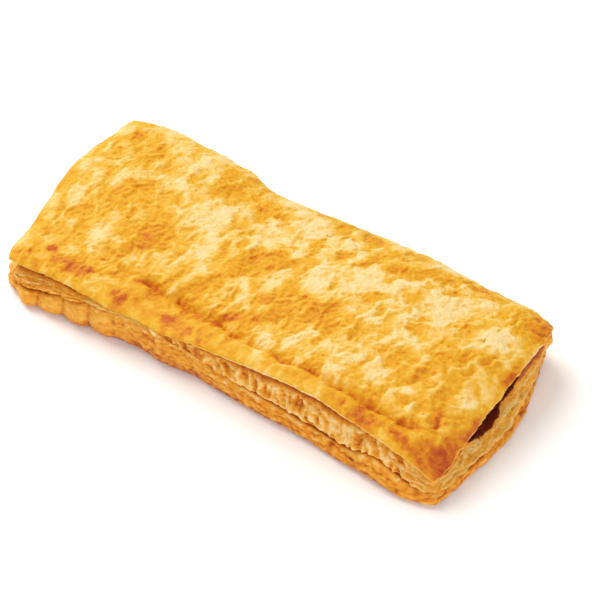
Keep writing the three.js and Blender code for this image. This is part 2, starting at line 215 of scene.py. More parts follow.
# %% [markdown]
# ## Torn flakes
# Torn puff pastry is a patchwork of pale layers that still stand, with ragged edges, and golden hollows where
# they have come off. The layers lean, so each falls steeply behind and runs down slowly in front, like tiles
# laid the wrong way round. Nobody needs to sculpt them one by one: noise of five sizes, pushed towards its
# highest and lowest values, gives plates with tattered edges. To lean a field, it is read at a place that is
# shifted by its own height. The grain runs straight across the roll at its left end and a little slantwise to
# the right, so the noise is made both ways and the two are faded into each other.

# %% Grain and torn dough
LEFT_GRAIN, RIGHT_GRAIN = math.radians(88), math.radians(72)
TORN = [  # length, width and share of the tatters of each size
    (9, 5.6, 1.0), (4.8, 3.2, 1.0), (2.7, 1.9, 0.6), (1.5, 1.15, 0.3), (0.95, 0.8, 0.22)]
PLATE_SIZES = 3  # the first sizes alone give the plates without their fine tatters

def drawn_out(x, y, long, short, seed):
    """Wrinkles that are long with the grain and short across it."""
    made = []
    for angle in (LEFT_GRAIN, RIGHT_GRAIN):
        c, s = math.cos(angle), math.sin(angle)
        made.append(wrinkles((x * c + y * s) / long, (y * c - x * s) / short, seed))
    return mix(made[0], made[1], ease((x + 46) / 40))

def torn_dough(x, y, sizes=len(TORN)):
    """0 in the hollows and 1 on the layers that still stand, with ever smaller tatters on their edges."""
    tatters = sum(share * drawn_out(x, y, long, short, 62 + n)
                  for n, (long, short, share) in enumerate(TORN[:sizes]))
    crests = 1 - ease(np.abs(drawn_out(x, y, 6.0, 3.8, 70)) / 0.6)
    return ease(0.36 + 0.56 * tatters + 0.3 * crests)

sample_x, sample_y = np.meshgrid(np.linspace(-60, 60, 240), np.linspace(-20, 25, 90))
print(f"torn layers stand on {np.mean(torn_dough(sample_x, sample_y) > 0.5):.0%} of the top")

# %% [markdown]
# ## Where the flakes stand
# Noise alone would tear the whole top alike, but on a real roll flakes are left in patches: ridges of them
# stand where the dough was dry, and hollows are bare where steam lifted them off. Two short tables say where,
# and soft noise joins the patches. Near the front left corner one flake has torn into a ribbed fan.

# %% Where the flakes stand
RIDGES = [  # where loose flakes still stand: x and y of both ends, width, strength
    (-41.5, -18, -38, -14, 1.3, 0.9), (-41, -26.6, -35.5, -23.4, 1.2, 0.9),
    (-14, 28, -8, 30, 1.6, 0.5), (-29, 3, -24, 18, 1.8, 0.6), (-1, 19.6, 8.5, 24, 1.5, 0.6),
    (12, 22, 23, 29, 1.5, 0.5), (12, 6.4, 23.5, 13.8, 1.6, 0.6), (10.5, 10.2, 18.8, 18, 1.5, 0.5),
    (19.8, 6.9, 30, 18, 1.6, 0.6), (24, -4, 36.5, 7.4, 1.8, 0.6), (43, 13.4, 60, 27, 2.6, 0.7),
    (41, 5.7, 55, 19.7, 2.6, 0.6), (29, 9, 43, 27, 1.6, 0.5), (-56, -22.6, -51, -6, 2.0, 0.6),
    (-64, -20, -59.6, -11.5, 2.0, 0.6), (-43, 15, -42, 21, 1.2, 0.5), (-36, 14, -37, 21, 1.2, 0.5),
    (-12, 9, 0, 14, 2.4, 0.5), (34, -17, 44, -12, 2.2, 0.5), (-20, -14, -14, -2, 2.2, 0.4),
    (60, 5, 68, 9, 2, 0.4)]
HOLLOWS = [  # where the flakes have come off: x, y, length, width, turn in degrees, strength
    (-41.9, 18.9, 2.6, 2.2, 0, 0.7), (-47.8, 5.8, 6, 3.6, 70, 0.6), (-56, -4, 7, 4, 70, 0.7),
    (-31.5, 18.3, 5, 2.6, 30, 0.7), (-13.3, 20.1, 3.4, 2.4, 30, 0.7), (9.2, 24.6, 2.6, 1.8, 30, 0.7),
    (21.5, 26.9, 5, 2.2, 30, 0.7), (-9.5, -4.7, 10, 4.4, 40, 0.8), (-3.2, 1.4, 5, 2.6, 30, 0.5),
    (19.7, -5, 7, 3, 30, 0.6), (33.6, 21.9, 6, 3, 30, 0.7), (46.1, 19.5, 5, 2, 30, 0.6),
    (56.8, 12.6, 5, 3, 40, 0.6), (39.3, 6.6, 2, 1.4, 30, 0.7), (45.2, 1.9, 1.6, 1.2, 0, 0.8),
    (-39.8, -10.1, 8, 4.6, 60, 0.8), (1, -18.5, 7, 2.6, 25, 0.9), (64, 27, 2, 1.6, 0, 0.8),
    (-66, 8, 6, 4, 80, 0.5), (12, -15, 6, 3, 20, 0.4), (55, -8, 7, 4, 35, 0.5), (-27, -18, 6, 3, 40, 0.5)]

def spot(x, y, cx, cy, length, width, turn):
    """1 in the middle of an oval spot, fading to 0 outside it."""
    c, s = math.cos(math.radians(turn)), math.sin(math.radians(turn))
    u, v = ((x - cx) * c + (y - cy) * s) / length, ((y - cy) * c - (x - cx) * s) / width
    return np.exp(-(u * u + v * v))

def left_standing(x, y):
    """How much of the flakes is left: above 0 where they stand, below 0 where they have come off."""
    left = (0.45 * wrinkles(x / 17, y / 12, 59) + 0.3 * wrinkles(x / 30, y / 16, 61)
            + 0.3 * drawn_out(x, y, 13, 6, 55) + 0.35 * drawn_out(x, y, 5.5, 3.6, 58))
    # Fewer are left towards the front and at the near right corner.
    left += mix(-0.2, 0.06, ease((y + 26) / 40)) - 0.2 * ease((x - 56) / 14) * ease((20 - y) / 14)
    for x0, y0, x1, y1, width, strength in RIDGES:
        dx, dy = x1 - x0, y1 - y0
        share = np.clip(((x - x0) * dx + (y - y0) * dy) / (dx * dx + dy * dy), 0, 1)
        away = np.hypot(x - x0 - share * dx, y - y0 - share * dy)
        left += strength * np.exp(-(away / width) ** 2)
    for *place, strength in HOLLOWS:
        left -= strength * spot(x, y, *place)
    return left

print(len(RIDGES), "ridges of flakes and", len(HOLLOWS), "bare hollows")

# %% The torn fan
FAN_X, FAN_Y, FAN_LENGTH, FAN_WIDTH, FAN_TURN = -43.6, -21.4, 4.2, 2.8, math.radians(52)

def torn_fan(x, y):
    """1 on the fan of torn dough near the front left corner, and the ribs that run along it."""
    c, s = math.cos(FAN_TURN), math.sin(FAN_TURN)
    u, v = (x - FAN_X) * c + (y - FAN_Y) * s, (y - FAN_Y) * c - (x - FAN_X) * s
    inside = 1 - np.hypot(u / FAN_LENGTH, v / FAN_WIDTH) + 0.3 * wrinkles(x / 1.5, y / 1.5, 77)
    return ease(inside / 0.16), wrinkles(u / 5, v / 0.75, 78)

print(f"the fan is {2 * FAN_LENGTH:.1f} mm long and {2 * FAN_WIDTH:.1f} mm wide")

# %% Relief of the top sheet
SWELL, CRUMB, FLAKE_HEIGHT = 0.32, 0.3, 0.72  # millimetres

def flakes(x, y):
    """Height of the flakes in millimetres, and how much pale torn dough shows, from 0 to 1."""
    sway_x, sway_y = x + 1.2 * wrinkles(x / 6, y / 6, 51), y + 1.2 * wrinkles(x / 6, y / 6, 53)
    sway_x, sway_y = sway_x + 0.5 * wrinkles(x / 2, y / 2, 55), sway_y + 0.5 * wrinkles(x / 2, y / 2, 56)
    left = left_standing(sway_x, sway_y)
    lean = 0.8 * torn_dough(sway_x, sway_y, PLATE_SIZES)
    lean_x, lean_y = sway_x + 0.55 * lean, sway_y - 0.84 * lean
    height = torn_dough(lean_x, lean_y)
    torn = 0.5 * (height + torn_dough(lean_x, lean_y, PLATE_SIZES))
    soft = drawn_out(sway_x, sway_y, 8, 4.5, 60)
    crumbs = wrinkles(sway_x / 1.3, sway_y / 0.9, 75) + 0.5 * wrinkles(x / 0.8, y / 0.65, 76)
    relief = SWELL * soft + CRUMB * crumbs + FLAKE_HEIGHT * (height - 0.5) * mix(1.1, 0.85, ease(0.5 + left))
    pale = np.minimum(0.14 + 0.75 * left + 0.34 * soft + 0.64 * torn, 0.6 + 0.5 * torn)
    pale = mix(np.clip(pale, 0, 1), ease(pale), 0.5)
    fan, ribs = torn_fan(x, y)
    return mix(relief, 0.4 + 0.3 * ribs, fan), mix(pale, 0.4 + 0.4 * ribs, fan)

sample_relief, sample_pale = flakes(sample_x, sample_y)
print(f"flakes from {sample_relief.min():.1f} to {sample_relief.max():.1f} mm, {sample_pale.mean():.0%} pale")

# %% [markdown]
# ## The sides
# Seen from the side, a cut or pressed edge of puff pastry has a thin lip, a hollow under it where the layers
# drew apart, a band of pale ragged layers, a dark seam where the two sheets meet, and the bulge of the base
# sheet. Each of these is a row of a profile that runs down the side. The profile changes all the way round
# the roll, which a plain extrusion could not do, and pleats and flakes are added to it at the end.

# %% Rows of a cut side
SHELF = {"front": 0.3, "left": 0.3, "right": 0.8}  # how much of the base's bulge starts at the seam
LIP, FRONT_LIP = 0.7, 2.0  # how thick the top sheet's edge looks at the cuts and along the front
FLAT_INSET = 1.6  # from the bulge of the base in to its flat underside
MITRE = 6.0  # how far from a corner the sides begin to turn
SCALLOP = 8.8  # from one scallop of the base to the next, at the left of the front
FOLD_BULGE, FOLD_TUCK = 1.9, 2.2  # how far the fold at the back stands out, and how far it is tucked in below
# Rows of a profile that are named below; row 0 is the rim itself.
HOLLOW_ROW, SEAM_ROW, UNDERSIDE_ROW = 3.0, 7.0, 11

def cut_profile(rim, seam, shelf, foot, along, seed, lip=LIP):
    """How far out and how high each row is, from the lip to the underside."""
    band = rim - seam
    hollow = np.minimum(2.8, 0.22 * band)
    flake = lambda row: 0.45 * blotches(along / 2.6, row * 1.3, seed)
    rows = [
        (0.15, rim - np.minimum(lip, 0.2 * band)),  # the lip
        (-0.5 * hollow, rim - 0.27 * band),
        (-hollow + flake(1), rim - 0.36 * band),  # the hollow under it
        (-0.7 * hollow + flake(2), rim - 0.5 * band),  # the band of torn layers
        (-0.3 * hollow + flake(3), rim - 0.66 * band),
        (shelf * foot + 0.3 + flake(4), rim - 0.84 * band),
        (shelf * foot - 0.9, seam),  # the seam
        (mix(shelf, 1, 0.6) * foot + 0.3, 0.86 * seam),  # the base sheet
        (foot + 0.7, 0.55 * seam),
        (foot + 0.3, 0.22 * seam),
        (np.minimum(foot, 1) - FLAT_INSET, 0 * seam),  # the edge of the underside
    ]
    return np.array([[np.broadcast_to(value, np.shape(along)) for value in row] for row in rows])

sample_rows = cut_profile(17, 3.5, SHELF["right"], 3, np.zeros(1), 32)
print(f"{len(sample_rows)} rows down a side 17 mm high, the deepest {-sample_rows[:, 0].min():.1f} mm in")

# %% Profiles of the four sides
def scallops(x):
    """0 in the notches between the scallops and 1 in the middle of each."""
    return np.abs(np.sin(math.pi * (x + 70) / SCALLOP))

def front_profile(t):
    x = t * HALF_LENGTH
    lobes = ease((x + 70) / 4) * ease((-32 - x) / 6) * 0.7 * scallops(x)
    rim = through(FRONT_RIM, x)
    return cut_profile(rim, np.minimum(through(FRONT_SEAM, x), rim - 1.6), SHELF["front"],
                       through(FRONT_FOOT, x) + lobes, x, 31, FRONT_LIP)

def right_profile(t):
    y = t * HALF_WIDTH
    return cut_profile(through(RIGHT_RIM, y), through(RIGHT_SEAM, y), SHELF["right"], through(RIGHT_FOOT, y),
                       y, 32)

def back_profile(t):
    x = -t * HALF_LENGTH
    rim = through(BACK_RIM, x)
    rows = []
    for row in range(1, UNDERSIDE_ROW + 1):
        turn = math.pi * row / UNDERSIDE_ROW
        outward = (FOLD_BULGE * math.sin(turn) - FOLD_TUCK * (turn / math.pi) ** 3
                   + 0.35 * blotches(x / 6, (row - 1) * 0.5, 34))
        if row == UNDERSIDE_ROW:
            outward = -FOLD_TUCK + 0 * x
        rows.append((outward, rim / 2 * (1 + math.cos(turn))))
    return np.array(rows)

def left_profile(t):
    y = -t * HALF_WIDTH
    return cut_profile(through(LEFT_RIM, y), through(LEFT_SEAM, y), SHELF["left"], LEFT_FOOT + 0 * y, y, 33)

print(f"the fold at the back stands out {back_profile(np.zeros(1))[:, 0].max():.1f} mm at its middle")

# %% Columns of one side
SIDES = [  # half its length, how far it blends into its neighbours, its profile, and its places in the plan
    (HALF_LENGTH, 5, front_profile, lambda t: (t, -1 + 0 * t)),
    (HALF_WIDTH, 4, right_profile, lambda t: (1 + 0 * t, t)),
    (HALF_LENGTH, 5, back_profile, lambda t: (-t, 1 + 0 * t)),
    (HALF_WIDTH, 4, left_profile, lambda t: (-1 + 0 * t, -t)),
]
FRONT, BACK = 0, 2  # their numbers in that list; the cut ends are the odd ones

def side_columns(number, cells):
    """Columns of one side: its points on the rim, the way each faces, and its profile rows."""
    half, reach, profile, at = SIDES[number]
    t = np.linspace(-1, 1, cells + 1)[:-1]
    from_corner = (1 - np.abs(t)) * half
    lean = np.sign(t) * np.maximum(0, 1 - from_corner / MITRE)
    ways = [(lean, -1 + 0 * t), (1 + 0 * t, lean), (-lean, 1 + 0 * t), (-1 + 0 * t, -lean)]
    before, after = SIDES[(number + 3) % 4][2](np.array([1.0])), SIDES[(number + 1) % 4][2](np.array([-1.0]))
    neighbour = np.where(t > 0, after, before)
    rows = mix(profile(t), neighbour, 0.5 * (1 - ease(from_corner / reach)))
    return t, at(t), np.array(ways[number]), rows

print("the right end, cut into four columns, faces", side_columns(1, 4)[2].T.round(2).tolist())

# %% [markdown]
# ## Two closed shells
# The top sheet and the layered edge under it are two separate shells, as they are two separate layers of the
# real thing. Each is a sheet of points in rows, so it is quick to make and easy to close: the top is a grid
# whose rim goes on down the sides, and the edge is rows of a ring. Where one dives behind the other there is
# a real crease, which catches shadow in a way that no painted line does.

# %% Rows and faces
def rows_between(rows, s):
    """The profile at row number s, which may lie between rows, on a smooth curve through them."""
    i = np.clip(np.floor(s).astype(int), 0, len(rows) - 2)
    t = s - i
    columns = np.arange(rows.shape[-1])
    pick = lambda k: rows[np.clip(k, 0, len(rows) - 1), :, columns].T
    before, here, there, after = pick(i - 1), pick(i), pick(i + 1), pick(i + 2)
    return (here + 0.5 * t * (there - before + t * (2 * before - 5 * here + 4 * there - after
                                                    + t * (3 * (here - there) + after - before))))

def grid_faces(number):
    """Faces of a grid of point numbers, seen from above."""
    corners = [number[:-1, :-1], number[1:, :-1], number[1:, 1:], number[:-1, 1:]]
    return np.stack(corners, axis=-1).reshape(-1, 4)

def quads(upper, lower, closed=True):
    """Faces between two rows of point numbers, the upper one first, seen from outside."""
    ahead = lambda row: np.roll(row, -1) if closed else row[1:]
    near = lambda row: row if closed else row[:-1]
    return np.stack([near(lower), ahead(lower), ahead(upper), near(upper)], axis=1)

def rings_below(upper, first, rings, around):
    """Faces of rings of points, numbered on from first, below the ring upper, and the last ring's numbers."""
    faces = []
    for ring in range(rings):
        lower = np.arange(around) + first + ring * around
        if upper is not None:
            faces.append(quads(upper, lower))
        upper = lower
    return faces, upper

print("a ring of 4 points joins to the next in", len(quads(np.arange(4), np.arange(4, 8))), "faces")

# %% Meshes
def store(mesh, name, values):
    """Keeps one number on each point, under a name that the nodes can read."""
    mesh.attributes.new(name, "FLOAT", "POINT").data.foreach_set("value", values.ravel().astype(np.float32))

def mesh_from(name, points, faces, tones, caps=()):
    """A mesh in the frame's metres from millimetre points, with its tone of browning and painted shade on its
    points.
    """
    mesh = bpy.data.meshes.new(name)
    everything = [tuple(face) for face in faces.tolist()] + [tuple(cap) for cap in caps]
    mesh.from_pydata(((points + MIDDLE) / 1000).tolist(), [], everything)
    mesh.polygons.foreach_set("use_smooth", [True] * len(mesh.polygons))
    store(mesh, "bake_and_shade", tones)
    piece = bpy.data.objects.new(name, mesh)
    bpy.context.scene.collection.objects.link(piece)
    return piece

print("meshes are moved by", MIDDLE.tolist(), "mm into the frame")

# %% The ring of columns round the rim
ALONG, ACROSS = 380, 166  # cells of the top sheet each way
ABOVE_LIP = 0.6  # how far the rim stands above the lip
columns = [side_columns(n, ACROSS if n % 2 else ALONG) for n in range(4)]
ring_t = np.concatenate([c[0] for c in columns])
AROUND = len(ring_t)
ring_side = np.concatenate([np.full(len(c[0]), n) for n, c in enumerate(columns)])
ring_a = np.concatenate([np.broadcast_to(c[1][0], c[0].shape) for c in columns])
ring_b = np.concatenate([np.broadcast_to(c[1][1], c[0].shape) for c in columns])
ring_facing = np.concatenate([c[2] for c in columns], axis=1)
ring_rows = np.concatenate([c[3] for c in columns], axis=2)
ring_rows = np.concatenate([np.stack([0 * ring_t, ring_rows[0, 1] + ABOVE_LIP])[None], ring_rows])
ring_x, ring_y = plan(ring_a, ring_b)
ring_half = np.array([side[0] for side in SIDES])[ring_side]
ring_from_corner = (1 - np.abs(ring_t)) * ring_half
along_ring = np.cumsum(np.hypot(np.diff(ring_x, prepend=ring_x[-1]), np.diff(ring_y, prepend=ring_y[-1])))
is_back = np.where(ring_side == BACK, ease((ring_from_corner + 1.5) / 3), 0)
print(f"{AROUND} columns, {along_ring[-1]:.0f} mm round")

# %% [markdown]
# ## How hard each spot was baked, and where shade is painted
# One number per point says how far the crust has browned: 0 is pale dry flake, about 0.5 is golden, 1 is
# nearly burnt. Raised flakes are thin and torn, so their pale inside shows. Hollows keep their fat and turn
# deep golden, and rims and corners brown first because heat reaches them from two sides. The same number
# also carries painted shade: it is darker on slopes that face away from the light, in the pressed groove,
# under the lip, in the crevices under torn leaves and splits, between the scallops and on the tunnel's wall.

# %% Where the top browned most
BROWNED = [  # x, y, length, width, turn in degrees, amount
    (66, -27, 10, 5.4, 10, 0.18), (70.5, -28, 5, 4.6, 10, 0.32), (72.5, -25, 2.6, 4, 0, 0.14),
    (73.5, -15, 2.4, 7, 0, 0.16), (65.3, -18.2, 0.9, 4, 20, 0.3), (70, 0, 3.4, 3, 0, 0.26),
    (60, -24, 4, 2, 30, 0.14), (46, -29.5, 8, 3, 0, 0.42), (58, -29.6, 6, 2.4, 0, 0.34),
    (73.9, 0, 1.3, 32, 0, 0.2), (73, -20, 2.4, 9, 0, 0.14), (71.5, 27, 3.4, 4, 60, 0.3),
    (73.5, 14, 1.2, 9, 0, 0.2), (-61.5, -25, 2.6, 2, 0, 0.34), (-58, -27.6, 12, 4.2, 3, 0.22),
    (-54.2, -27.6, 2.2, 1.8, 0, 0.42), (-47.4, -26.4, 1.5, 2.8, 0, 0.5), (-19.3, -27.5, 2.2, 1.5, 0, 0.36),
    (-32.4, -20.8, 2, 1.5, 30, 0.3), (-40, -28, 3, 2, 0, 0.18), (-31, -29, 9, 2, 0, 0.14),
    (-1, -18.8, 7, 2.4, 20, 0.12), (-39, -10, 7, 4, 60, 0.14), (27, 22.5, 5, 3, 30, 0.12),
    (41, 25, 3.4, 2, 0, 0.3), (52, 28.5, 5, 1.6, 0, 0.3), (-68, 26, 1.6, 1.6, 0, 0.4),
    (-3, 30, 40, 1.6, 0, 0.1), (-20, -28, 12, 2, 0, 0.1), (20, -28.6, 10, 1.8, 0, 0.12)]
print(len(BROWNED), "browned spots")

# %% The tone of the top, browning and painted shade
GOLDEN, MEAN_PALE = 0.475, 0.42  # tone of dough that isn't torn, and how pale it is on average
SCORCHED = 0.75  # above this tone the crust darkens only half as fast

def painted_slope_shade(x, y, z):
    """How steeply the surface falls towards the front right, away from the high left light: painted shade."""
    away = (0.7 * np.gradient(z, axis=0) / np.gradient(x, axis=0)
            - 0.7 * np.gradient(z, axis=1) / np.gradient(y, axis=1))
    return np.clip(-away, -0.4, 1.0)

def bake_and_shade_tone(x, y, relief, pale, crease):
    roll = front_roll(x, y)
    pale = MEAN_PALE + (pale - MEAN_PALE) * mix(0.85, 1.08, ease((x + 60) / 45))
    # painted shade: slopes that fall away from the light are made more golden
    tone = (GOLDEN - 0.46 * pale * mix(1, 0.7, roll) * mix(0.95, 1.1, ease((x + 50) / 60))
            + 0.19 * painted_slope_shade(x, y, relief))
    tone += 0.06 * wrinkles(x / 16, y / 10, 90) + 0.05 * wrinkles(x / 6, y / 4, 91)
    # painted shade: the pressed crease and groove are made darker
    tone += roll * mix(0.12, -0.11, ease((x + 8) / 30)) + 0.06 * ease((x - 66) / 7) + 0.3 * crease
    patchy = np.clip(0.9 + 0.6 * wrinkles(x / 4, y / 3, 92) + 0.3 * wrinkles(x / 1.3, y / 1.3, 93), 0.2, 1.3)
    for *place, amount in BROWNED:
        tone += amount * spot(x, y, *place) * patchy
    return np.clip(np.where(tone > SCORCHED, SCORCHED + 0.5 * (tone - SCORCHED), tone), 0, 1)

print(f"above {SCORCHED} the tone rises half as fast")

# %% The top sheet with its relief and its bake tone
a, b = np.meshgrid(np.linspace(-1, 1, ALONG + 1), np.linspace(-1, 1, ACROSS + 1), indexing="ij")
top_x, top_y = plan(a, b)
edge = rolled_edge(a, b)
flake_height, flake_pale = flakes(top_x, top_y)
top_relief = (broad_blisters(top_x, top_y) * mix(0.35, 1, edge)
              + flake_height * mix(0.4, 1, edge) * mix(1, 0.6, front_roll(top_x, top_y)))
groove, crease = pressed_groove(top_x, top_y)
top_z = dome(a, b) - groove - 0.7 * crease + top_relief
# the crease and the groove go into the tone as painted shade
top_tone = bake_and_shade_tone(top_x, top_y, top_relief, flake_pale, crease + 0.16 * groove)
print(f"the top is {top_z.min():.1f} to {top_z.max():.1f} mm high, mean bake {top_tone.mean():.2f}")

# %% Points of the sides, at any rows
rim_number = (np.rint((ring_a + 1) / 2 * ALONG) * (ACROSS + 1)
              + np.rint((ring_b + 1) / 2 * ACROSS)).astype(int)
rim_z = top_z.ravel()[rim_number]

def side_points(s, extra_out=0.0):
    """Points at row number s of every column, moved out by extra_out millimetres."""
    outward, height = rows_between(ring_rows, s)
    calm = mix(0.3, 1, ease(ring_from_corner / 4))  # the columns crowd together at a corner
    drop = rim_z - ring_rows[1, 1]
    z = height + (drop - ABOVE_LIP) * np.maximum(0, 1 - s / 5)  # the relief of the rim fades over five rows
    out = outward + calm * extra_out
    return np.stack([ring_x + ring_facing[0] * out, ring_y + ring_facing[1] * out, np.maximum(z, 0)], axis=1)

print(f"the rim is {rim_z.min():.1f} to {rim_z.max():.1f} mm high")

# %% [markdown]
# ## The top crust goes on down the sides
# At the cuts and along the front the top sheet ends in a thin torn lip, which shows a pale line where its
# layers parted. At the back it doesn't end: it runs round the fold to the underside with the same flakes on
# it, so their noise is read as if the fold were laid flat.

# %% The lip and the fold
LIP_ROWS, LIP_END = 27, 2.7  # rows of points, and the profile's row where the lip turns in
FOLD_LENGTH = 24.0  # of dough from the back rim to the underside
# The last tone, under the lip, is painted shade for the hollow there.
HIDDEN_TONE, TORN_TONE, UNDER_LIP_SHADE_TONE = 0.8, 0.04, 0.78
last_row = mix(LIP_END, UNDERSIDE_ROW, is_back)
rim_tone = top_tone.ravel()[rim_number]
has_torn_lip = np.where(ring_side == FRONT, ease((ring_x + 34) / 40), 1.0)
torn_width = mix(0.26, 0.4, ease((ring_x - 5) / 30))
ragged = 0.16 * wrinkles(along_ring / 2.4, 0.3, 98) + 0.08 * wrinkles(along_ring / 0.9, 0.6, 94)
points = [np.stack([top_x.ravel(), top_y.ravel(), top_z.ravel()], axis=1)]
tones = [top_tone.ravel()]
for row in range(1, LIP_ROWS + 1):
    share = row / LIP_ROWS
    s = last_row * mix(share ** 1.4, share, is_back)
    fibre = 0.10 * wrinkles(along_ring / 3, s * 4, 95) + 0.05 * wrinkles(along_ring / 0.8, s * 5, 96)
    folded_relief, folded_pale = flakes(ring_x, HALF_WIDTH + FOLD_LENGTH * s / UNDERSIDE_ROW)
    out = mix(fibre, 0.7 * folded_relief * ease((10.5 - s) / 2), is_back)
    points.append(side_points(s, out * np.minimum(1, s)))
    torn = has_torn_lip * np.exp(-((s - 1.0 - ragged) / torn_width) ** 2)
    # painted shade under the lip
    lip_tone = mix(mix(rim_tone, UNDER_LIP_SHADE_TONE, ease((s - 1.1 - ragged) / 0.4)), TORN_TONE, torn)
    folded_tone = (0.49 - 0.42 * folded_pale + 0.22 * ease((s - 5) / 6)
                   + 0.1 * wrinkles(along_ring / 6, s * 1.2, 97))
    tones.append(mix(lip_tone, folded_tone, is_back))
for inset, level in ((4.5, None), (5.0, 2.5)):  # inside the roll the shell turns down and closes
    ends = side_points(last_row, -inset)
    ends[:, 2] = ends[:, 2] * 0.9 + 0.4 if level is None else level
    points.append(ends)
    tones.append(np.full(AROUND, HIDDEN_TONE))
print(f"{LIP_ROWS} rows of {AROUND} points down the sides")

# %% The top crust
number = np.arange(top_x.size).reshape(top_x.shape)
faces, lowest = rings_below(rim_number, top_x.size, len(points) - 1, AROUND)
top_crust = mesh_from("top_crust", np.concatenate(points), np.concatenate([grid_faces(number)] + faces),
                      np.concatenate(tones), [lowest[::-1]])
print("top crust:", len(top_crust.data.polygons), "faces")

# %% [markdown]
# ## The layered edge
# Dozens of layers show under the lip. Torn as they are, they would take hundreds of sheets, so they are
# relief and tone on one shell: a sawtooth down the side gives stacked leaves, each standing out most at its
# lower edge with a painted shadow line below it. Along the front, pressing the roll shut has pleated them
# into upright curls, and at its left the base sheet is scalloped.

# %% Stacked leaves, and where each kind of edge is
def leaf_edges(along, level, sway, seed):
    """Stacked leaves, one to a unit of level: how far each stands out, and the painted shadow line below it.
    """
    phase = (level + sway * wrinkles(along / 9, level / 4, seed)
             + 0.22 * wrinkles(along / 1.8, level / 2, seed + 1))
    leaf = phase - np.floor(phase)
    strength = 0.7 + 0.3 * blotches(np.floor(phase) * 7.3, along / 8, seed + 2)
    return (strength * leaf ** 1.5 * (1 - ease((leaf - 0.84) / 0.16)),
            strength * np.exp(-((leaf - 0.98) / 0.12) ** 2))

front_x = np.where(ring_side == FRONT, ring_x, 999.0)  # far away on the other sides
is_end = (ring_side % 2) * ease(ring_from_corner / 5)
far_right = np.where(ring_side == 1, ease((ring_y - 16) / 8), 0)
left_front = ease((-42 - front_x) / 6)
pleated = ease((front_x + 30) / 8) * ease((68 - front_x) / 6)
lobed, lobe = ease((front_x + 72) / 4) * ease((-32 - front_x) / 6), scallops(front_x)
hollow_until = HOLLOW_ROW + 0.3 * pleated * ease((50 - front_x) / 8) + 1.1 * is_end
pleat = wrinkles(along_ring / 1.5 + 0.6 * wrinkles(along_ring / 4, 0.5, 101), 0.3, 100)
flap = 0.35 * wrinkles(along_ring / 2.2, 0.4, 108) + 0.25 * wrinkles(along_ring / 0.9, 0.4, 109)
print(f"{np.mean(pleated > 0.5):.0%} of the way round is pleated, {np.mean(is_end > 0.5):.0%} is cut")

# %% The torn layers and the base sheet
def torn_layers(s, z):
    """How far the layers between the two sheets stand out, and their tone, with painted shadow lines in it.
    """
    lean_along = along_ring + 0.5 * z + 1.1 * wrinkles(along_ring / 3, z / 3, 99)
    curls = 1 - np.minimum(1, np.abs(wrinkles(lean_along / 3.4, z / 5, 102)) / 0.6)
    folds = 0.3 * pleat + 0.9 * (curls - 0.5) + 0.25 * wrinkles(along_ring / 1.0, z / 0.9, 103)
    leaves, shadow_lines = leaf_edges(along_ring, mix(1.1, 1.3, is_end) * s, 0.8, 120)
    thin_leaves, thin_shadow_lines = leaf_edges(along_ring, mix(2.1, 2.4, is_end) * s, 1.0, 124)
    stacked = leaves + 0.4 * thin_leaves + 0.12 * pleat
    stacked_tone = (mix(mix(0.4, 0.42, is_end), 0.55, left_front) - mix(0.3, 0.42, is_end) * leaves
                    - mix(0.25, 0.34, is_end) * thin_leaves)
    # painted shadow in the crevice under each leaf
    stacked_tone += 0.5 * shadow_lines + 0.35 * thin_shadow_lines + 0.15 * is_end * wrinkles(along_ring / 5, z / 1.5, 131)
    tone = mix(stacked_tone, 0.3 - 0.65 * folds + 0.4 * thin_shadow_lines * (curls < 0.5), pleated)
    tone += 0.07 * wrinkles(along_ring / 1.2, z / 1.2, 107)
    return mix(stacked - 0.3 + 0.8 * left_front, 0.9 * folds, pleated), np.clip(tone, 0.0, 0.9)

def base_sheet(s, z):
    """How far the relief of the base sheet stands out, and its tone, with painted shade in its splits and
    notches.
    """
    streaks = wrinkles(along_ring / 8, z / 1.1, 104) + 0.6 * wrinkles(along_ring / 4, z / 0.5, 105)
    splits, split_shadow_lines = leaf_edges(along_ring, 0.75 * s, 0.7, 128)
    mottle = wrinkles(along_ring / 1.8, z / 1.0, 130)
    rough = 1 - 0.6 * lobed
    under_seam = np.exp(-((s - 7.6) / 0.25) ** 2) * (1 - left_front)
    # painted shadow in the crevice under each split
    tone = (0.5 + rough * (0.34 * split_shadow_lines - 0.18 * streaks - 0.26 * splits - 0.24 * mottle)
            - 0.22 * under_seam + 0.06 * is_end)
    # painted shade in the notches between the scallops
    tone += 0.34 * ease((s - 9.1) / 1.2) + lobed * (0.24 * np.exp(-(lobe / 0.25) ** 2) - 0.14)
    tone += 0.4 * lobed * np.exp(-((s - 7.35) / 0.3) ** 2) + 0.16 * far_right
    return rough * (0.22 * streaks + 0.5 * splits + 0.16 * mottle) + 0.6 * lobed * (lobe - 0.4), tone

middle = np.full(AROUND, HOLLOW_ROW + 2)
print(f"the torn layers stand out up to {torn_layers(middle, middle)[0].max():.1f} mm")

# %% The layered edge
EDGE_ROWS, START_ROW = 76, 1.8
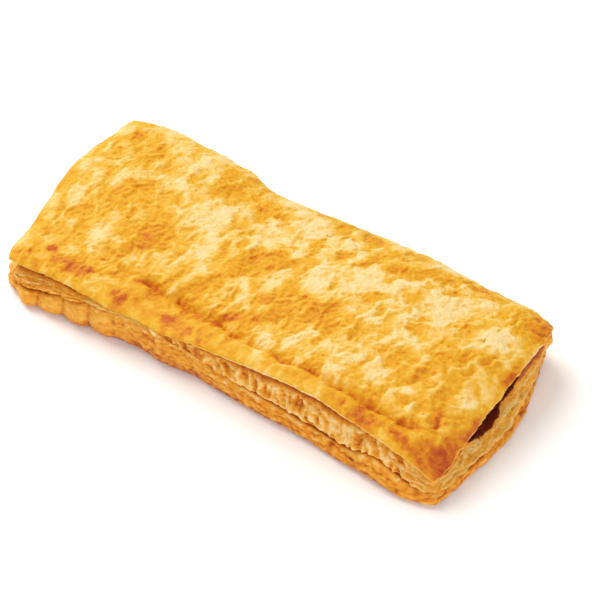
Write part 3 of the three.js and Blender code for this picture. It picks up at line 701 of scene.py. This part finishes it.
# Which row of the profile a row of points lies on: most of them are spent on the torn layers.
ROWS_DOWN = [(0, START_ROW), (8, HOLLOW_ROW), (54, 7.3), (EDGE_ROWS, UNDERSIDE_ROW)]
points, tones = [], []
for level in (3.5, None):  # the shell starts inside the roll, behind the lip
    start = side_points(np.full(AROUND, START_ROW), -4.2)
    if level is not None:
        start[:, 2] = level
    points.append(start)
    tones.append(np.full(AROUND, HIDDEN_TONE))
for row in range(EDGE_ROWS + 1):
    s = np.full(AROUND, np.interp(row, *zip(*ROWS_DOWN)))
    z = side_points(s)[:, 2]
    in_band = ease((s - hollow_until) / 0.9) * ease((SEAM_ROW + 0.5 * pleated * flap - s) / 0.35)
    in_base = ease((s - 7.1) / 0.4) * ease((UNDERSIDE_ROW - s) / 0.8)
    band_out, band_tone = torn_layers(s, z)
    base_out, base_tone = base_sheet(s, z)
    out = in_band * band_out
    out += in_base * base_out
    out += 0.05 * wrinkles(along_ring / 0.5, z / 0.5, 106) - 1.6 * is_back
    points.append(side_points(s, out))
    # painted shade in the hollow under the lip
    hollow_shade_tone = mix(0.9, mix(0.8, 0.84, is_end), ease((s - 1.9) / 1.4))
    tone = mix(hollow_shade_tone, band_tone, in_band)
    tone = mix(tone, mix(0.88, 0.74, left_front), np.exp(-((s - 7.05) / 0.25) ** 2))  # the dark seam
    tones.append(np.clip(mix(tone, base_tone, in_base), 0, 1))
faces, lowest = rings_below(None, 0, len(points), AROUND)
layered_edge = mesh_from("layered_edge", np.concatenate(points), np.concatenate(faces), np.concatenate(tones),
                         [lowest[::-1], range(AROUND)])
print("layered edge:", len(layered_edge.data.polygons), "faces")

# %% [markdown]
# ## Leaves that stand clear
# At the cut ends and at both ends of the front a few single leaves of dough stand clear of the stack, thin
# and curled. Relief can't undercut itself, so each is a thin closed strip of its own that starts inside the
# stack and reaches out a little way, more here and less there. They share one mesh.

# %% Where the leaves are
LEAVES = [  # side, from, to, height between the seam (0) and the lip (1), how far it stands out
    (0, -73, -53, 0.62, 0.9), (0, -73, -57, 0.40, 0.8), (0, -65, -50, 0.24, 0.5), (0, -52, -40, 0.45, 0.3),
    (0, 56, 72, 0.56, 0.7), (0, 61, 72, 0.34, 0.7), (0, 64, 72, 0.16, 0.5), (1, -31, -16, 0.42, 0.5),
    (1, -31, 2, 0.24, 0.5), (1, -30, 24, 0.12, 0.4), (1, 2, 26, 0.3, 0.5), (1, 10, 26, 0.48, 0.5),
    (3, -31, 4, 0.3, 0.5), (3, 6, 28, 0.42, 0.5), (3, 4, 31, 0.18, 0.5), (3, -30, -8, 0.58, 0.5)]
print(len(LEAVES), "leaves")

# %% One leaf
LEAF_THICKNESS = 0.22
LEAF_TOP_ROW = 2.8  # the profile's row of a leaf right under the lip

def leaf(side, start, end, share, reach, seed):
    """One leaf: its points, faces, end caps and bake tones."""
    place = ring_t * ring_half
    here = np.flatnonzero((ring_side == side) & (place >= start) & (place <= end))
    along = along_ring[here]
    s = mix(SEAM_ROW, LEAF_TOP_ROW, share) + 0.3 * wrinkles(along_ring / 6, 0.3, seed)
    from_end = np.minimum(np.arange(len(here)), np.arange(len(here))[::-1]) * 0.4
    stands = mix(-1.0, reach * (0.8 + 0.7 * wrinkles(along / 2.4, 0.3, seed + 1)), ease(from_end / 3))
    lift = 0.5 * wrinkles(along / 3.2, 0.5, seed + 2) * ease(from_end / 3)
    outward = np.zeros(AROUND)
    outward[here] = stands + 0.35
    root, rim = side_points(s, -1.6)[here], side_points(s, outward)[here]
    half = np.array([0, 0, LEAF_THICKNESS / 2])
    curl = np.stack([0 * lift, 0 * lift, lift], axis=1)
    rows = [root + half, mix(root, rim, 0.6) + 0.3 * curl + half, rim + curl + half, rim + curl - half,
            mix(root, rim, 0.6) + 0.3 * curl - half, root - half]
    number = np.arange(len(rows) * len(here)).reshape(len(rows), -1)
    faces = [quads(number[i], number[(i + 1) % len(rows)], closed=False) for i in range(len(rows))]
    pale = 0.12 + 0.12 * wrinkles(along / 2, 0.3, seed + 3)
    shown = [0.6 + 0 * pale, pale + 0.2, pale, pale + 0.1, 0.7 + 0 * pale, 0.7 + 0 * pale]
    caps = [number[:, 0][::-1], number[:, -1]]
    return np.concatenate(rows), np.concatenate(faces), caps, np.concatenate(shown)

print("the first leaf has", len(leaf(*LEAVES[0], seed=140)[0]), "points")

# %% The torn leaves
points, faces, caps, tones, first = [], [], [], [], 0
for n, values in enumerate(LEAVES):
    leaf_points, leaf_faces, leaf_caps, leaf_tones = leaf(*values, seed=140 + 5 * n)
    points.append(leaf_points)
    faces.append(leaf_faces + first)
    caps += [cap + first for cap in leaf_caps]
    tones.append(leaf_tones)
    first += len(leaf_points)
torn_leaves = mesh_from("torn_leaves", np.concatenate(points), np.concatenate(faces), np.concatenate(tones),
                        caps)
print("torn leaves:", len(torn_leaves.data.polygons), "faces")

# %% [markdown]
# ## The meat and its tunnel
# The meat is one strip from end to end. The space that it fills is taken out of both shells with a Boolean,
# so the gap between crust and meat at each cut is real and can be looked into. Drawing a dark line there
# would be quicker, but it would lie flat in every other view. The meat is a little smaller than its space,
# crumbly, and sunk at both ends, because it shrinks when its juices cook out.

# %% The tunnel's shape
LEFT_MOUTH, RIGHT_MOUTH = (17.0, 5.0), (16.5, 3.6)  # half width and half height at each cut end
TUNNEL_Y, TUNNEL_Z, TUNNEL_HALF_WIDTH, TUNNEL_HALF_HEIGHT = 1.0, 10.6, 21.0, 5.2  # everywhere else
MOUTH_LENGTH = 20  # over which it narrows to a mouth
ROUNDNESS = 0.85  # 1 would be an ellipse, and less is more like a box
CRUST_AT_CUT = 1.4  # how thick the top sheet is above a mouth
MEAT_SAG = 2.6  # how far the meat has sunk from the crust at a cut

def towards_cut(x):
    return ease((np.abs(x) - (HALF_LENGTH - MOUTH_LENGTH)) / MOUTH_LENGTH)

def tunnel_point(x, turn, inset):
    """Points of one ring of the tunnel, moved inwards by inset millimetres."""
    half_width, half_height = RIGHT_MOUTH if x[0] > 0 else LEFT_MOUTH
    end, c, s = towards_cut(x), np.cos(turn), np.sin(turn)
    y = TUNNEL_Y + (mix(TUNNEL_HALF_WIDTH, half_width, end) - inset) * np.sign(c) * np.abs(c) ** ROUNDNESS
    rim = through(RIGHT_RIM if x[0] > 0 else LEFT_RIM, y)
    at_cut = rim - CRUST_AT_CUT - half_height * (np.abs(s) - s)
    sag = np.where(inset > 0, MEAT_SAG * end * np.maximum(0, s), 0)
    return np.stack([x, y, mix(TUNNEL_Z + TUNNEL_HALF_HEIGHT * s, at_cut, end) - inset * s - sag], axis=1)

print(f"the tunnel is {2 * TUNNEL_HALF_WIDTH:.0f} mm wide, {2 * TUNNEL_HALF_HEIGHT:.1f} mm high")

# %% The wall that the tunnel leaves
ON_WALL = 0.12  # how near the wall a point counts as on it

def on_tunnel(x, y, z):
    """Which points lie on the wall that the tunnel leaves."""
    right, end = x > 0, towards_cut(x)
    half_width, half_height = (np.where(right, *sizes) for sizes in zip(RIGHT_MOUTH, LEFT_MOUTH))
    half = mix(TUNNEL_HALF_WIDTH, half_width, end)
    c = np.clip(np.abs(y - TUNNEL_Y) / half, 0, 1) ** (1 / ROUNDNESS)
    s = np.sqrt(1 - c * c)
    rim = np.where(right, through(RIGHT_RIM, y), through(LEFT_RIM, y)) - CRUST_AT_CUT
    inside = np.abs(y - TUNNEL_Y) <= half
    reached = np.zeros(np.shape(x), bool)
    for way in (1, -1):  # its roof and its floor
        at_cut = rim - half_height * (s - way * s)
        wall = mix(TUNNEL_Z + TUNNEL_HALF_HEIGHT * way * s, at_cut, end)
        reached |= inside & (np.abs(wall - z) < ON_WALL)
    return reached

print(f"points within {ON_WALL} mm of the wall are on it")

# %% A tube of rings
def tube(name, stations, around, inset_at, bulge, tone_at):
    """A closed tube of rings along x whose ends are domed."""
    turn = np.linspace(0, 2 * math.pi, around, endpoint=False)
    rings = [tunnel_point(np.full(around, x), turn, inset_at(x, turn)) for x in stations]
    ends = []
    for ring, way in ((rings[0], -1), (rings[-1], 1)):
        centre = ring.mean(axis=0)
        ends.append([mix(centre, ring, share) + [way * bulge * (1 - share * share), 0, 0]
                     for share in (0.94, 0.82, 0.66, 0.48, 0.3, 0.12)])
    rings = ends[0][::-1] + rings + ends[1]
    points = np.concatenate(rings)
    numbers = np.arange(len(points)).reshape(len(rings), around)
    faces = np.concatenate([quads(numbers[i + 1], numbers[i]) for i in range(len(rings) - 1)])
    return mesh_from(name, points, faces, tone_at(points), [numbers[-1], numbers[0][::-1]])

sample_ring = tunnel_point(np.zeros(4), np.arange(4) * math.pi / 2, 0)
print(f"far inside, a ring is {np.ptp(sample_ring[:, 1]):.0f} mm wide")

# %% The tunnel, cut out of both shells
def made_plain(piece):
    """Makes what the piece's modifiers give its own mesh, and removes them."""
    made = bpy.data.meshes.new_from_object(piece.evaluated_get(bpy.context.evaluated_depsgraph_get()))
    piece.modifiers.clear()
    piece.data = made
    return made

stations = np.concatenate([np.linspace(-85, -50, 24), np.linspace(50, 87, 24)])  # well past both cuts
tunnel = tube("tunnel", stations, 90, lambda x, turn: 0 * turn, 1.0, lambda p: 0 * p[:, 0] + 1)
for crust in (top_crust, layered_edge):
    cut = crust.modifiers.new("tunnel", "BOOLEAN")
    cut.object, cut.operation, cut.solver = tunnel, "DIFFERENCE", "MANIFOLD"
    made = made_plain(crust)
    place = np.empty(3 * len(made.vertices))
    made.vertices.foreach_get("co", place)
    bake_and_shade = np.empty(len(made.vertices), np.float32)
    made.attributes["bake_and_shade"].data.foreach_get("value", bake_and_shade)
    bake_and_shade[on_tunnel(*(place.reshape(-1, 3) * 1000 - MIDDLE).T)] = 1.0  # painted shade: the wall is made dark for the shadow in the gap
    made.attributes["bake_and_shade"].data.foreach_set("value", bake_and_shade)
    print(crust.name, "has", sum(len(p.vertices) - 2 for p in made.polygons), "triangles")
bpy.data.objects.remove(tunnel)

# %% The strip of meat
def meat_inset(x, turn):
    """How far the strip stays inside the tunnel, with the grain of the mince on it."""
    crumb = 0.35 * (blotches(x / 5, turn * 3, 41) - 1)
    return 0.35 - crumb + 0.25 * wrinkles(x / 1.6, turn * 9, 110) + 0.15 * wrinkles(x / 0.7, turn * 20, 111)

sausage_meat = tube("sausage_meat_strip", np.linspace(-69, 68.5, 300), 110, meat_inset, 1.2,
                    lambda p: 0.5 + 0.5 * wrinkles(p[:, 0] / 2, p[:, 1] / 2, 112))
print("meat:", len(sausage_meat.data.polygons), "faces")

# %% [markdown]
# ## Finishes
# Colours are kept as sRGB hex values, as a baker would read them off a chart, and one function turns them
# into the linear values that Blender works in. One more function adds a node with its settings and its links.

# %% Helpers for materials
def colour(hex_value):
    """An sRGB hex value as a linear colour."""
    channels = [((hex_value >> shift) & 255) / 255 for shift in (16, 8, 0)]
    return [c / 12.92 if c <= 0.04045 else ((c + 0.055) / 1.055) ** 2.4 for c in channels] + [1.0]

def add(owner, kind, inputs=(), stops=(), **settings):
    """Adds a node to a tree or a material, with its settings, its colour stops and its values or links."""
    tree = getattr(owner, "node_tree", owner)
    made = tree.nodes.new(kind)
    for name, value in settings.items():
        setattr(made, name, value)
    if stops:  # places along a colour ramp, and the hex values there
        elements = made.color_ramp.elements
        while len(elements) < len(stops):
            elements.new(0.5)
        for element, (place, shade) in zip(elements, stops):
            element.position, element.color = place, colour(shade)
    for name, value in dict(inputs).items():
        if isinstance(value, bpy.types.NodeSocket):
            tree.links.new(value, made.inputs[name])
        else:
            made.inputs[name].default_value = value
    return made

def finish_named(name):
    material = bpy.data.materials.new(name)
    material.use_nodes = True
    material.node_tree.nodes.clear()
    return material

print("golden crust in linear light:", [round(c, 3) for c in colour(0xF7B23C)[:3]])

# %% [markdown]
# ## Baked puff pastry
# Flour, fat and a little milk wash, browned in an oven. It is a dielectric with an index near 1.45. Dry
# flakes are matte and scatter light inside, so they look cream. Where fat has fried the surface it is deep
# gold and a little glossy. A picture could be painted on it, but the tone of browning, with painted shade in
# it, is stored on the points already, so it picks the colour from a ramp. Fine noise breaks it up, and a fine
# bump gives the crumb that is too small for the mesh.

# %% Colours of baked dough
TONES = (0.0, 0.15, 0.30, 0.45, 0.60, 0.75, 0.88, 1.0)
BAKED = (0xFBDC9E, 0xF7CD74, 0xF0BC44, 0xEAAE22, 0xE39818, 0xD27214, 0xBE5014, 0x8A2C0C)
TORN_LAYERS = (0xFFDA98, 0xFBC76C, 0xF3B244, 0xEA9E26, 0xDA8318, 0xBC5C14, 0x9A420E, 0x6E2208)
print(len(TONES), "tones from pale to nearly burnt")

# %% The crust's material
def baked_pastry(name, shades, scattering):
    pastry = finish_named(name)
    place = add(pastry, "ShaderNodeTexCoord").outputs["Object"]
    bake_and_shade = add(pastry, "ShaderNodeAttribute", attribute_name="bake_and_shade").outputs["Fac"]
    # Crumb about 1 mm across: 1000 / 1 = 1000 cells to the metre.
    crumb = add(pastry, "ShaderNodeTexNoise", {
        "Vector": place, "Scale": 1000.0, "Detail": 3.0, "Roughness": 0.55})
    # Uneven browning in spots about 3 mm across: 1000 / 3 = 330 to the metre.
    spots = add(pastry, "ShaderNodeTexNoise", {"Vector": place, "Scale": 330.0, "Detail": 3.0})
    fine, broad = (add(pastry, "ShaderNodeMapRange", {
        "Value": noise.outputs["Fac"], "From Min": 0.3, "From Max": 0.7, "To Min": -0.06, "To Max": 0.06})
        for noise in (crumb, spots))
    uneven = add(pastry, "ShaderNodeMath", {0: fine.outputs["Result"], 1: broad.outputs["Result"]},
                 operation="ADD")
    tone = add(pastry, "ShaderNodeMath", {0: bake_and_shade, 1: uneven.outputs[0]}, operation="ADD", use_clamp=True)
    ramp = add(pastry, "ShaderNodeValToRGB", {"Fac": tone.outputs[0]}, list(zip(TONES, shades)))
    gloss = add(pastry, "ShaderNodeMapRange", {
        "Value": tone.outputs[0], "From Min": 0.2, "From Max": 0.7, "To Min": 0.62, "To Max": 0.42})
    bump = add(pastry, "ShaderNodeBump", {
        "Height": crumb.outputs["Fac"], "Strength": 1.0, "Distance": 0.0006})
    shader = add(pastry, "ShaderNodeBsdfPrincipled", {
        "Base Color": ramp.outputs["Color"], "Roughness": gloss.outputs["Result"],
        "Normal": bump.outputs["Normal"], "IOR": 1.45, "Specular IOR Level": 0.25,
        "Subsurface Weight": scattering, "Subsurface Scale": 0.0006, "Subsurface Radius": (1.0, 0.75, 0.4)})
    add(pastry, "ShaderNodeOutputMaterial", {"Surface": shader.outputs["BSDF"]})
    return pastry

pastry_finish = baked_pastry("baked_puff_pastry", BAKED, 0.6)
layers_finish = baked_pastry("torn_pastry_layers", TORN_LAYERS, 0.6)
# A single leaf or flake has no depth for light to spread in.
leaf_finish = baked_pastry("thin_torn_leaf", TORN_LAYERS, 0.0)
flake_finish = baked_pastry("thin_baked_flake", BAKED, 0.0)
for crust, finish in ((top_crust, pastry_finish), (layered_edge, layers_finish), (torn_leaves, leaf_finish)):
    crust.data.materials.clear()
    crust.data.materials.append(finish)
    print(finish.name, "on", crust.name)

# %% [markdown]
# ## Loose flakes
# Small flakes of the top layer come loose while it bakes and stay where they lie, half sunk in the crust.
# They are all alike, so Geometry Nodes make them: points are scattered over the top, more where torn dough
# shows, one small flat flake is placed on each at its own turn and size, and noise frays them all once they
# are real. The tree's inputs are named, so another roll could have fewer or larger flakes.

# %% One flake
def one_flake(tree):
    """A ball pressed flat, a little over half as wide as it is long, and bowed along its length."""
    ball = add(tree, "GeometryNodeMeshIcoSphere", {"Radius": 0.5, "Subdivisions": 2})
    at = add(tree, "ShaderNodeSeparateXYZ", {0: add(tree, "GeometryNodeInputPosition").outputs[0]})
    narrow = add(tree, "ShaderNodeMath", {0: at.outputs["Y"], 1: 0.55}, operation="MULTIPLY")
    flat = add(tree, "ShaderNodeMath", {0: at.outputs["Z"], 1: 0.15}, operation="MULTIPLY")
    bowed = add(tree, "ShaderNodeMath", {0: at.outputs["X"], 1: 2.0}, operation="POWER")
    risen = add(tree, "ShaderNodeMath", {0: bowed.outputs[0], 1: 0.1, 2: flat.outputs[0]},
                operation="MULTIPLY_ADD")
    shaped = add(tree, "ShaderNodeCombineXYZ", {
        "X": at.outputs["X"], "Y": narrow.outputs[0], "Z": risen.outputs[0]})
    return add(tree, "GeometryNodeSetPosition", {
        "Geometry": ball.outputs["Mesh"], "Position": shaped.outputs[0]})

FLAKE_FACES = 80  # of an ico sphere with 2 subdivisions
print("one flake has", FLAKE_FACES, "faces")

# %% Frayed and baked flakes
PALER, BROWNER = -0.10, 0.12  # how far a flake's tone may lie from its ground's

def frayed_and_baked(tree, flakes, fraying):
    """Frays all flakes with one noise, and gives them the tone of the ground they lie on."""
    # Fraying about 1.4 mm across: 1000 / 1.4 = 700 to the metre.
    noise = add(tree, "ShaderNodeTexNoise", {"Scale": 700.0, "Detail": 3.0})
    centred = add(tree, "ShaderNodeVectorMath", {0: noise.outputs["Color"], 1: (0.5, 0.5, 0.5)},
                  operation="SUBTRACT")
    push = add(tree, "ShaderNodeVectorMath", {0: centred.outputs[0], "Scale": fraying}, operation="SCALE")
    frayed = add(tree, "GeometryNodeSetPosition", {"Geometry": flakes.outputs[0], "Offset": push.outputs[0]})
    ground_tone = add(tree, "GeometryNodeInputNamedAttribute", {"Name": "bake_and_shade"}, data_type="FLOAT")
    lighter = add(tree, "ShaderNodeMapRange", {
        "Value": noise.outputs["Fac"], "From Min": 0.3, "From Max": 0.7,
        "To Min": PALER, "To Max": BROWNER})
    tone = add(tree, "ShaderNodeMath", {0: ground_tone.outputs["Attribute"], 1: lighter.outputs["Result"]},
               operation="ADD", use_clamp=True)
    return add(tree, "GeometryNodeStoreNamedAttribute", {
        "Geometry": frayed.outputs[0], "Name": "bake_and_shade", "Value": tone.outputs[0]},
        data_type="FLOAT", domain="POINT")

print(f"the tone of a flake is that of its ground plus {PALER} to {BROWNER}")

# %% A tree that scatters flakes
def flake_tree():
    tree = bpy.data.node_groups.new("scattered_flakes", "GeometryNodeTree")
    socket = tree.interface.new_socket
    socket(name="Ground", in_out="INPUT", socket_type="NodeSocketGeometry")
    for name, value in (("Flake length", 0.0016), ("Closest spacing", 0.0022), ("Fraying", 0.0009)):
        socket(name=name, in_out="INPUT", socket_type="NodeSocketFloat").default_value = value
    socket(name="Seed", in_out="INPUT", socket_type="NodeSocketInt").default_value = 4
    socket(name="Flakes", in_out="OUTPUT", socket_type="NodeSocketGeometry")
    given = add(tree, "NodeGroupInput").outputs
    share = add(tree, "GeometryNodeInputNamedAttribute", {"Name": "loose"}, data_type="FLOAT")
    spots = add(tree, "GeometryNodeDistributePointsOnFaces", {
        "Mesh": given["Ground"], "Distance Min": given["Closest spacing"], "Density Max": 120000.0,
        "Density Factor": share.outputs["Attribute"], "Seed": given["Seed"]}, distribute_method="POISSON")
    flake = one_flake(tree)
    # Each flake gets its own turn, up to 2 pi, and its own size.
    turn = add(tree, "FunctionNodeRandomValue", {2: 0.0, 3: 6.283, "Seed": 11}, data_type="FLOAT")
    about = add(tree, "FunctionNodeAxisAngleToRotation", {"Axis": (0.0, 0.0, 1.0), "Angle": turn.outputs[1]})
    turned = add(tree, "FunctionNodeRotateRotation", {
        "Rotation": spots.outputs["Rotation"], "Rotate By": about.outputs[0]}, rotation_space="LOCAL")
    grown = add(tree, "FunctionNodeRandomValue", {2: 0.45, 3: 1.1, "Seed": 12}, data_type="FLOAT")
    size = add(tree, "ShaderNodeMath", {0: grown.outputs[1], 1: given["Flake length"]}, operation="MULTIPLY")
    placed = add(tree, "GeometryNodeInstanceOnPoints", {
        "Points": spots.outputs["Points"], "Instance": flake.outputs[0], "Rotation": turned.outputs[0],
        "Scale": size.outputs[0]})
    real = add(tree, "GeometryNodeRealizeInstances", {"Geometry": placed.outputs[0]})
    baked = frayed_and_baked(tree, real, given["Fraying"])
    smooth = add(tree, "GeometryNodeSetShadeSmooth", {"Geometry": baked.outputs[0]})
    dressed = add(tree, "GeometryNodeSetMaterial", {"Geometry": smooth.outputs[0], "Material": flake_finish})
    add(tree, "NodeGroupOutput", {"Flakes": dressed.outputs[0]})
    return tree

flake_nodes = flake_tree()
print("the tree has", len(flake_nodes.nodes), "nodes")

# %% The flakes on the top
STEP, MARGIN = 4, 8  # cells between the points of the ground, and cells left bare at the edge of the top
SUNK = 0.04  # millimetres that the flakes are sunk in the crust
here = np.s_[MARGIN:-MARGIN:STEP, MARGIN:-MARGIN:STEP]
ground_x, ground_y, ground_z = top_x[here], top_y[here], top_z[here]
ground = np.stack([ground_x.ravel(), ground_y.ravel(), ground_z.ravel() - SUNK], axis=1)
number = np.arange(ground_x.size).reshape(ground_x.shape)
loose_flakes = mesh_from("loose_flakes", ground, grid_faces(number), top_tone[here].ravel())
torn_here = flake_pale[here] * (1 - front_roll(ground_x, ground_y))
wanted = np.clip(1.6 * torn_here - 0.7, 0, 1) * mix(0.35, 1, ease((ground_x + 30) / 60))
store(loose_flakes.data, "loose", wanted)
scattering = loose_flakes.modifiers.new("scattered_flakes", "NODES")
scattering.node_group = flake_nodes
for item in flake_nodes.interface.items_tree:
    if item.name == "Seed":
        scattering[item.identifier] = 7
made = made_plain(loose_flakes)
print("flakes:", len(made.polygons) // FLAKE_FACES, "with", len(made.polygons), "faces")

# %% [markdown]
# ## Cooked sausage meat
# Minced pork cooked inside its crust: grainy, red-brown, and wet with fat, so it shines a little where light
# gets to it. The grain of the mince is about 2 mm.

# %% The meat's material
def cooked_meat():
    meat = finish_named("cooked_sausage_meat")
    place = add(meat, "ShaderNodeTexCoord").outputs["Object"]
    # Grain about 2 mm across: 1000 / 2 = 500 to the metre.
    grain = add(meat, "ShaderNodeTexNoise", {"Vector": place, "Scale": 500.0, "Detail": 4.0})
    ramp = add(meat, "ShaderNodeValToRGB", {"Fac": grain.outputs["Fac"]}, [(0.3, 0x6E2412), (0.7, 0xB5603A)])
    bump = add(meat, "ShaderNodeBump", {"Height": grain.outputs["Fac"], "Strength": 0.6, "Distance": 0.0006})
    shader = add(meat, "ShaderNodeBsdfPrincipled", {
        "Base Color": ramp.outputs["Color"], "Normal": bump.outputs["Normal"], "Roughness": 0.42, "IOR": 1.45,
        "Subsurface Weight": 0.2, "Subsurface Scale": 0.002, "Subsurface Radius": (1.0, 0.35, 0.2)})
    add(meat, "ShaderNodeOutputMaterial", {"Surface": shader.outputs["BSDF"]})
    return meat

sausage_meat.data.materials.append(cooked_meat())
print("meat finish on", sausage_meat.name)

# %% [markdown]
# ## Joining the frame
# Each piece rides on the part's one body and stands for the solid that it covers.

# %% Riding and replacing
for crust in (top_crust, layered_edge, torn_leaves, loose_flakes):
    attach(crust, "root")
    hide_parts("pastry")
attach(sausage_meat, "root")
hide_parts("sausage_meat")
print("five pieces ride on the root")

# %% [markdown]
# ## Floor and light
# A white floor and soft light from high on the left: one big panel there gives the top its brightness and
# leaves the front in mild shade. A low panel at the right of the front lifts the layered edge a little, and a
# warm white sky fills the shadows.

# %% Floor
FLOOR_HALF = 1.5

def stage_floor():
    corners = [(-1, -1), (1, -1), (1, 1), (-1, 1)]
    mesh = bpy.data.meshes.new("floor")
    mesh.from_pydata([(FLOOR_HALF * x, FLOOR_HALF * y, 0) for x, y in corners], [], [(0, 1, 2, 3)])
    floor = bpy.data.objects.new("floor", mesh)
    bpy.context.scene.collection.objects.link(floor)
    paper = finish_named("white_paper")
    shader = add(paper, "ShaderNodeBsdfPrincipled", {
        "Base Color": colour(0xFCFCFC), "Roughness": 0.9,
        "Emission Color": (1, 0.985, 0.96, 1), "Emission Strength": 0.09})
    add(paper, "ShaderNodeOutputMaterial", {"Surface": shader.outputs["BSDF"]})
    mesh.materials.append(paper)

stage_floor()
print(f"a floor {2 * FLOOR_HALF:.0f} m wide")

# %% Light
SKY_COLOUR, SKY_STRENGTH = (1.0, 0.955, 0.88, 1), 0.54
PANELS = [  # name, place, size in metres, watts, tint
    ("high_left_light", (-0.95, 0.20, 1.27), 1.3, 20.2, 0xFCFCFF),
    ("right_fill", (0.85, -0.45, 0.4), 0.8, 3.5, 0xFFFFFF)]

def look_at(thing, target):
    """Turns a light or camera so that its -Z axis points at the target."""
    thing.rotation_euler = (Vector(target) - thing.location).to_track_quat("-Z", "Y").to_euler()

for name, place, size, watts, tint in PANELS:
    light = bpy.data.lights.new(name, "AREA")
    light.shape, light.size, light.energy, light.color = "DISK", size, watts, colour(tint)[:3]
    lamp = bpy.data.objects.new(name, light)
    bpy.context.scene.collection.objects.link(lamp)
    lamp.location = place
    look_at(lamp, (0, 0, 0.01))
sky = bpy.data.worlds.new("white_sky")
bpy.context.scene.world = sky
sky.use_nodes = True
background = sky.node_tree.nodes["Background"].inputs
background["Color"].default_value, background["Strength"].default_value = SKY_COLOUR, SKY_STRENGTH
bpy.context.scene.view_settings.view_transform = "Standard"

# %% [markdown]
# ## The camera
# A long lens from 75 cm away, looking down at 48 degrees from the front right, so that the top, the sealed
# front edge and the cut right end all show.

# %% Camera
AZIMUTH, ELEVATION, DISTANCE = math.radians(33.3), math.radians(48.05), 0.75
TARGET = Vector((0.004509, 0.003585, 0.010))
lens = bpy.data.cameras.new("camera")
lens.lens, lens.sensor_width = 155.5, 36
camera = bpy.data.objects.new("camera", lens)
bpy.context.scene.collection.objects.link(camera)
camera.location = TARGET + DISTANCE * Vector((math.sin(AZIMUTH) * math.cos(ELEVATION),
                                              -math.cos(AZIMUTH) * math.cos(ELEVATION), math.sin(ELEVATION)))
look_at(camera, TARGET)
bpy.context.scene.camera = camera
print("camera at", [round(value, 3) for value in camera.location])
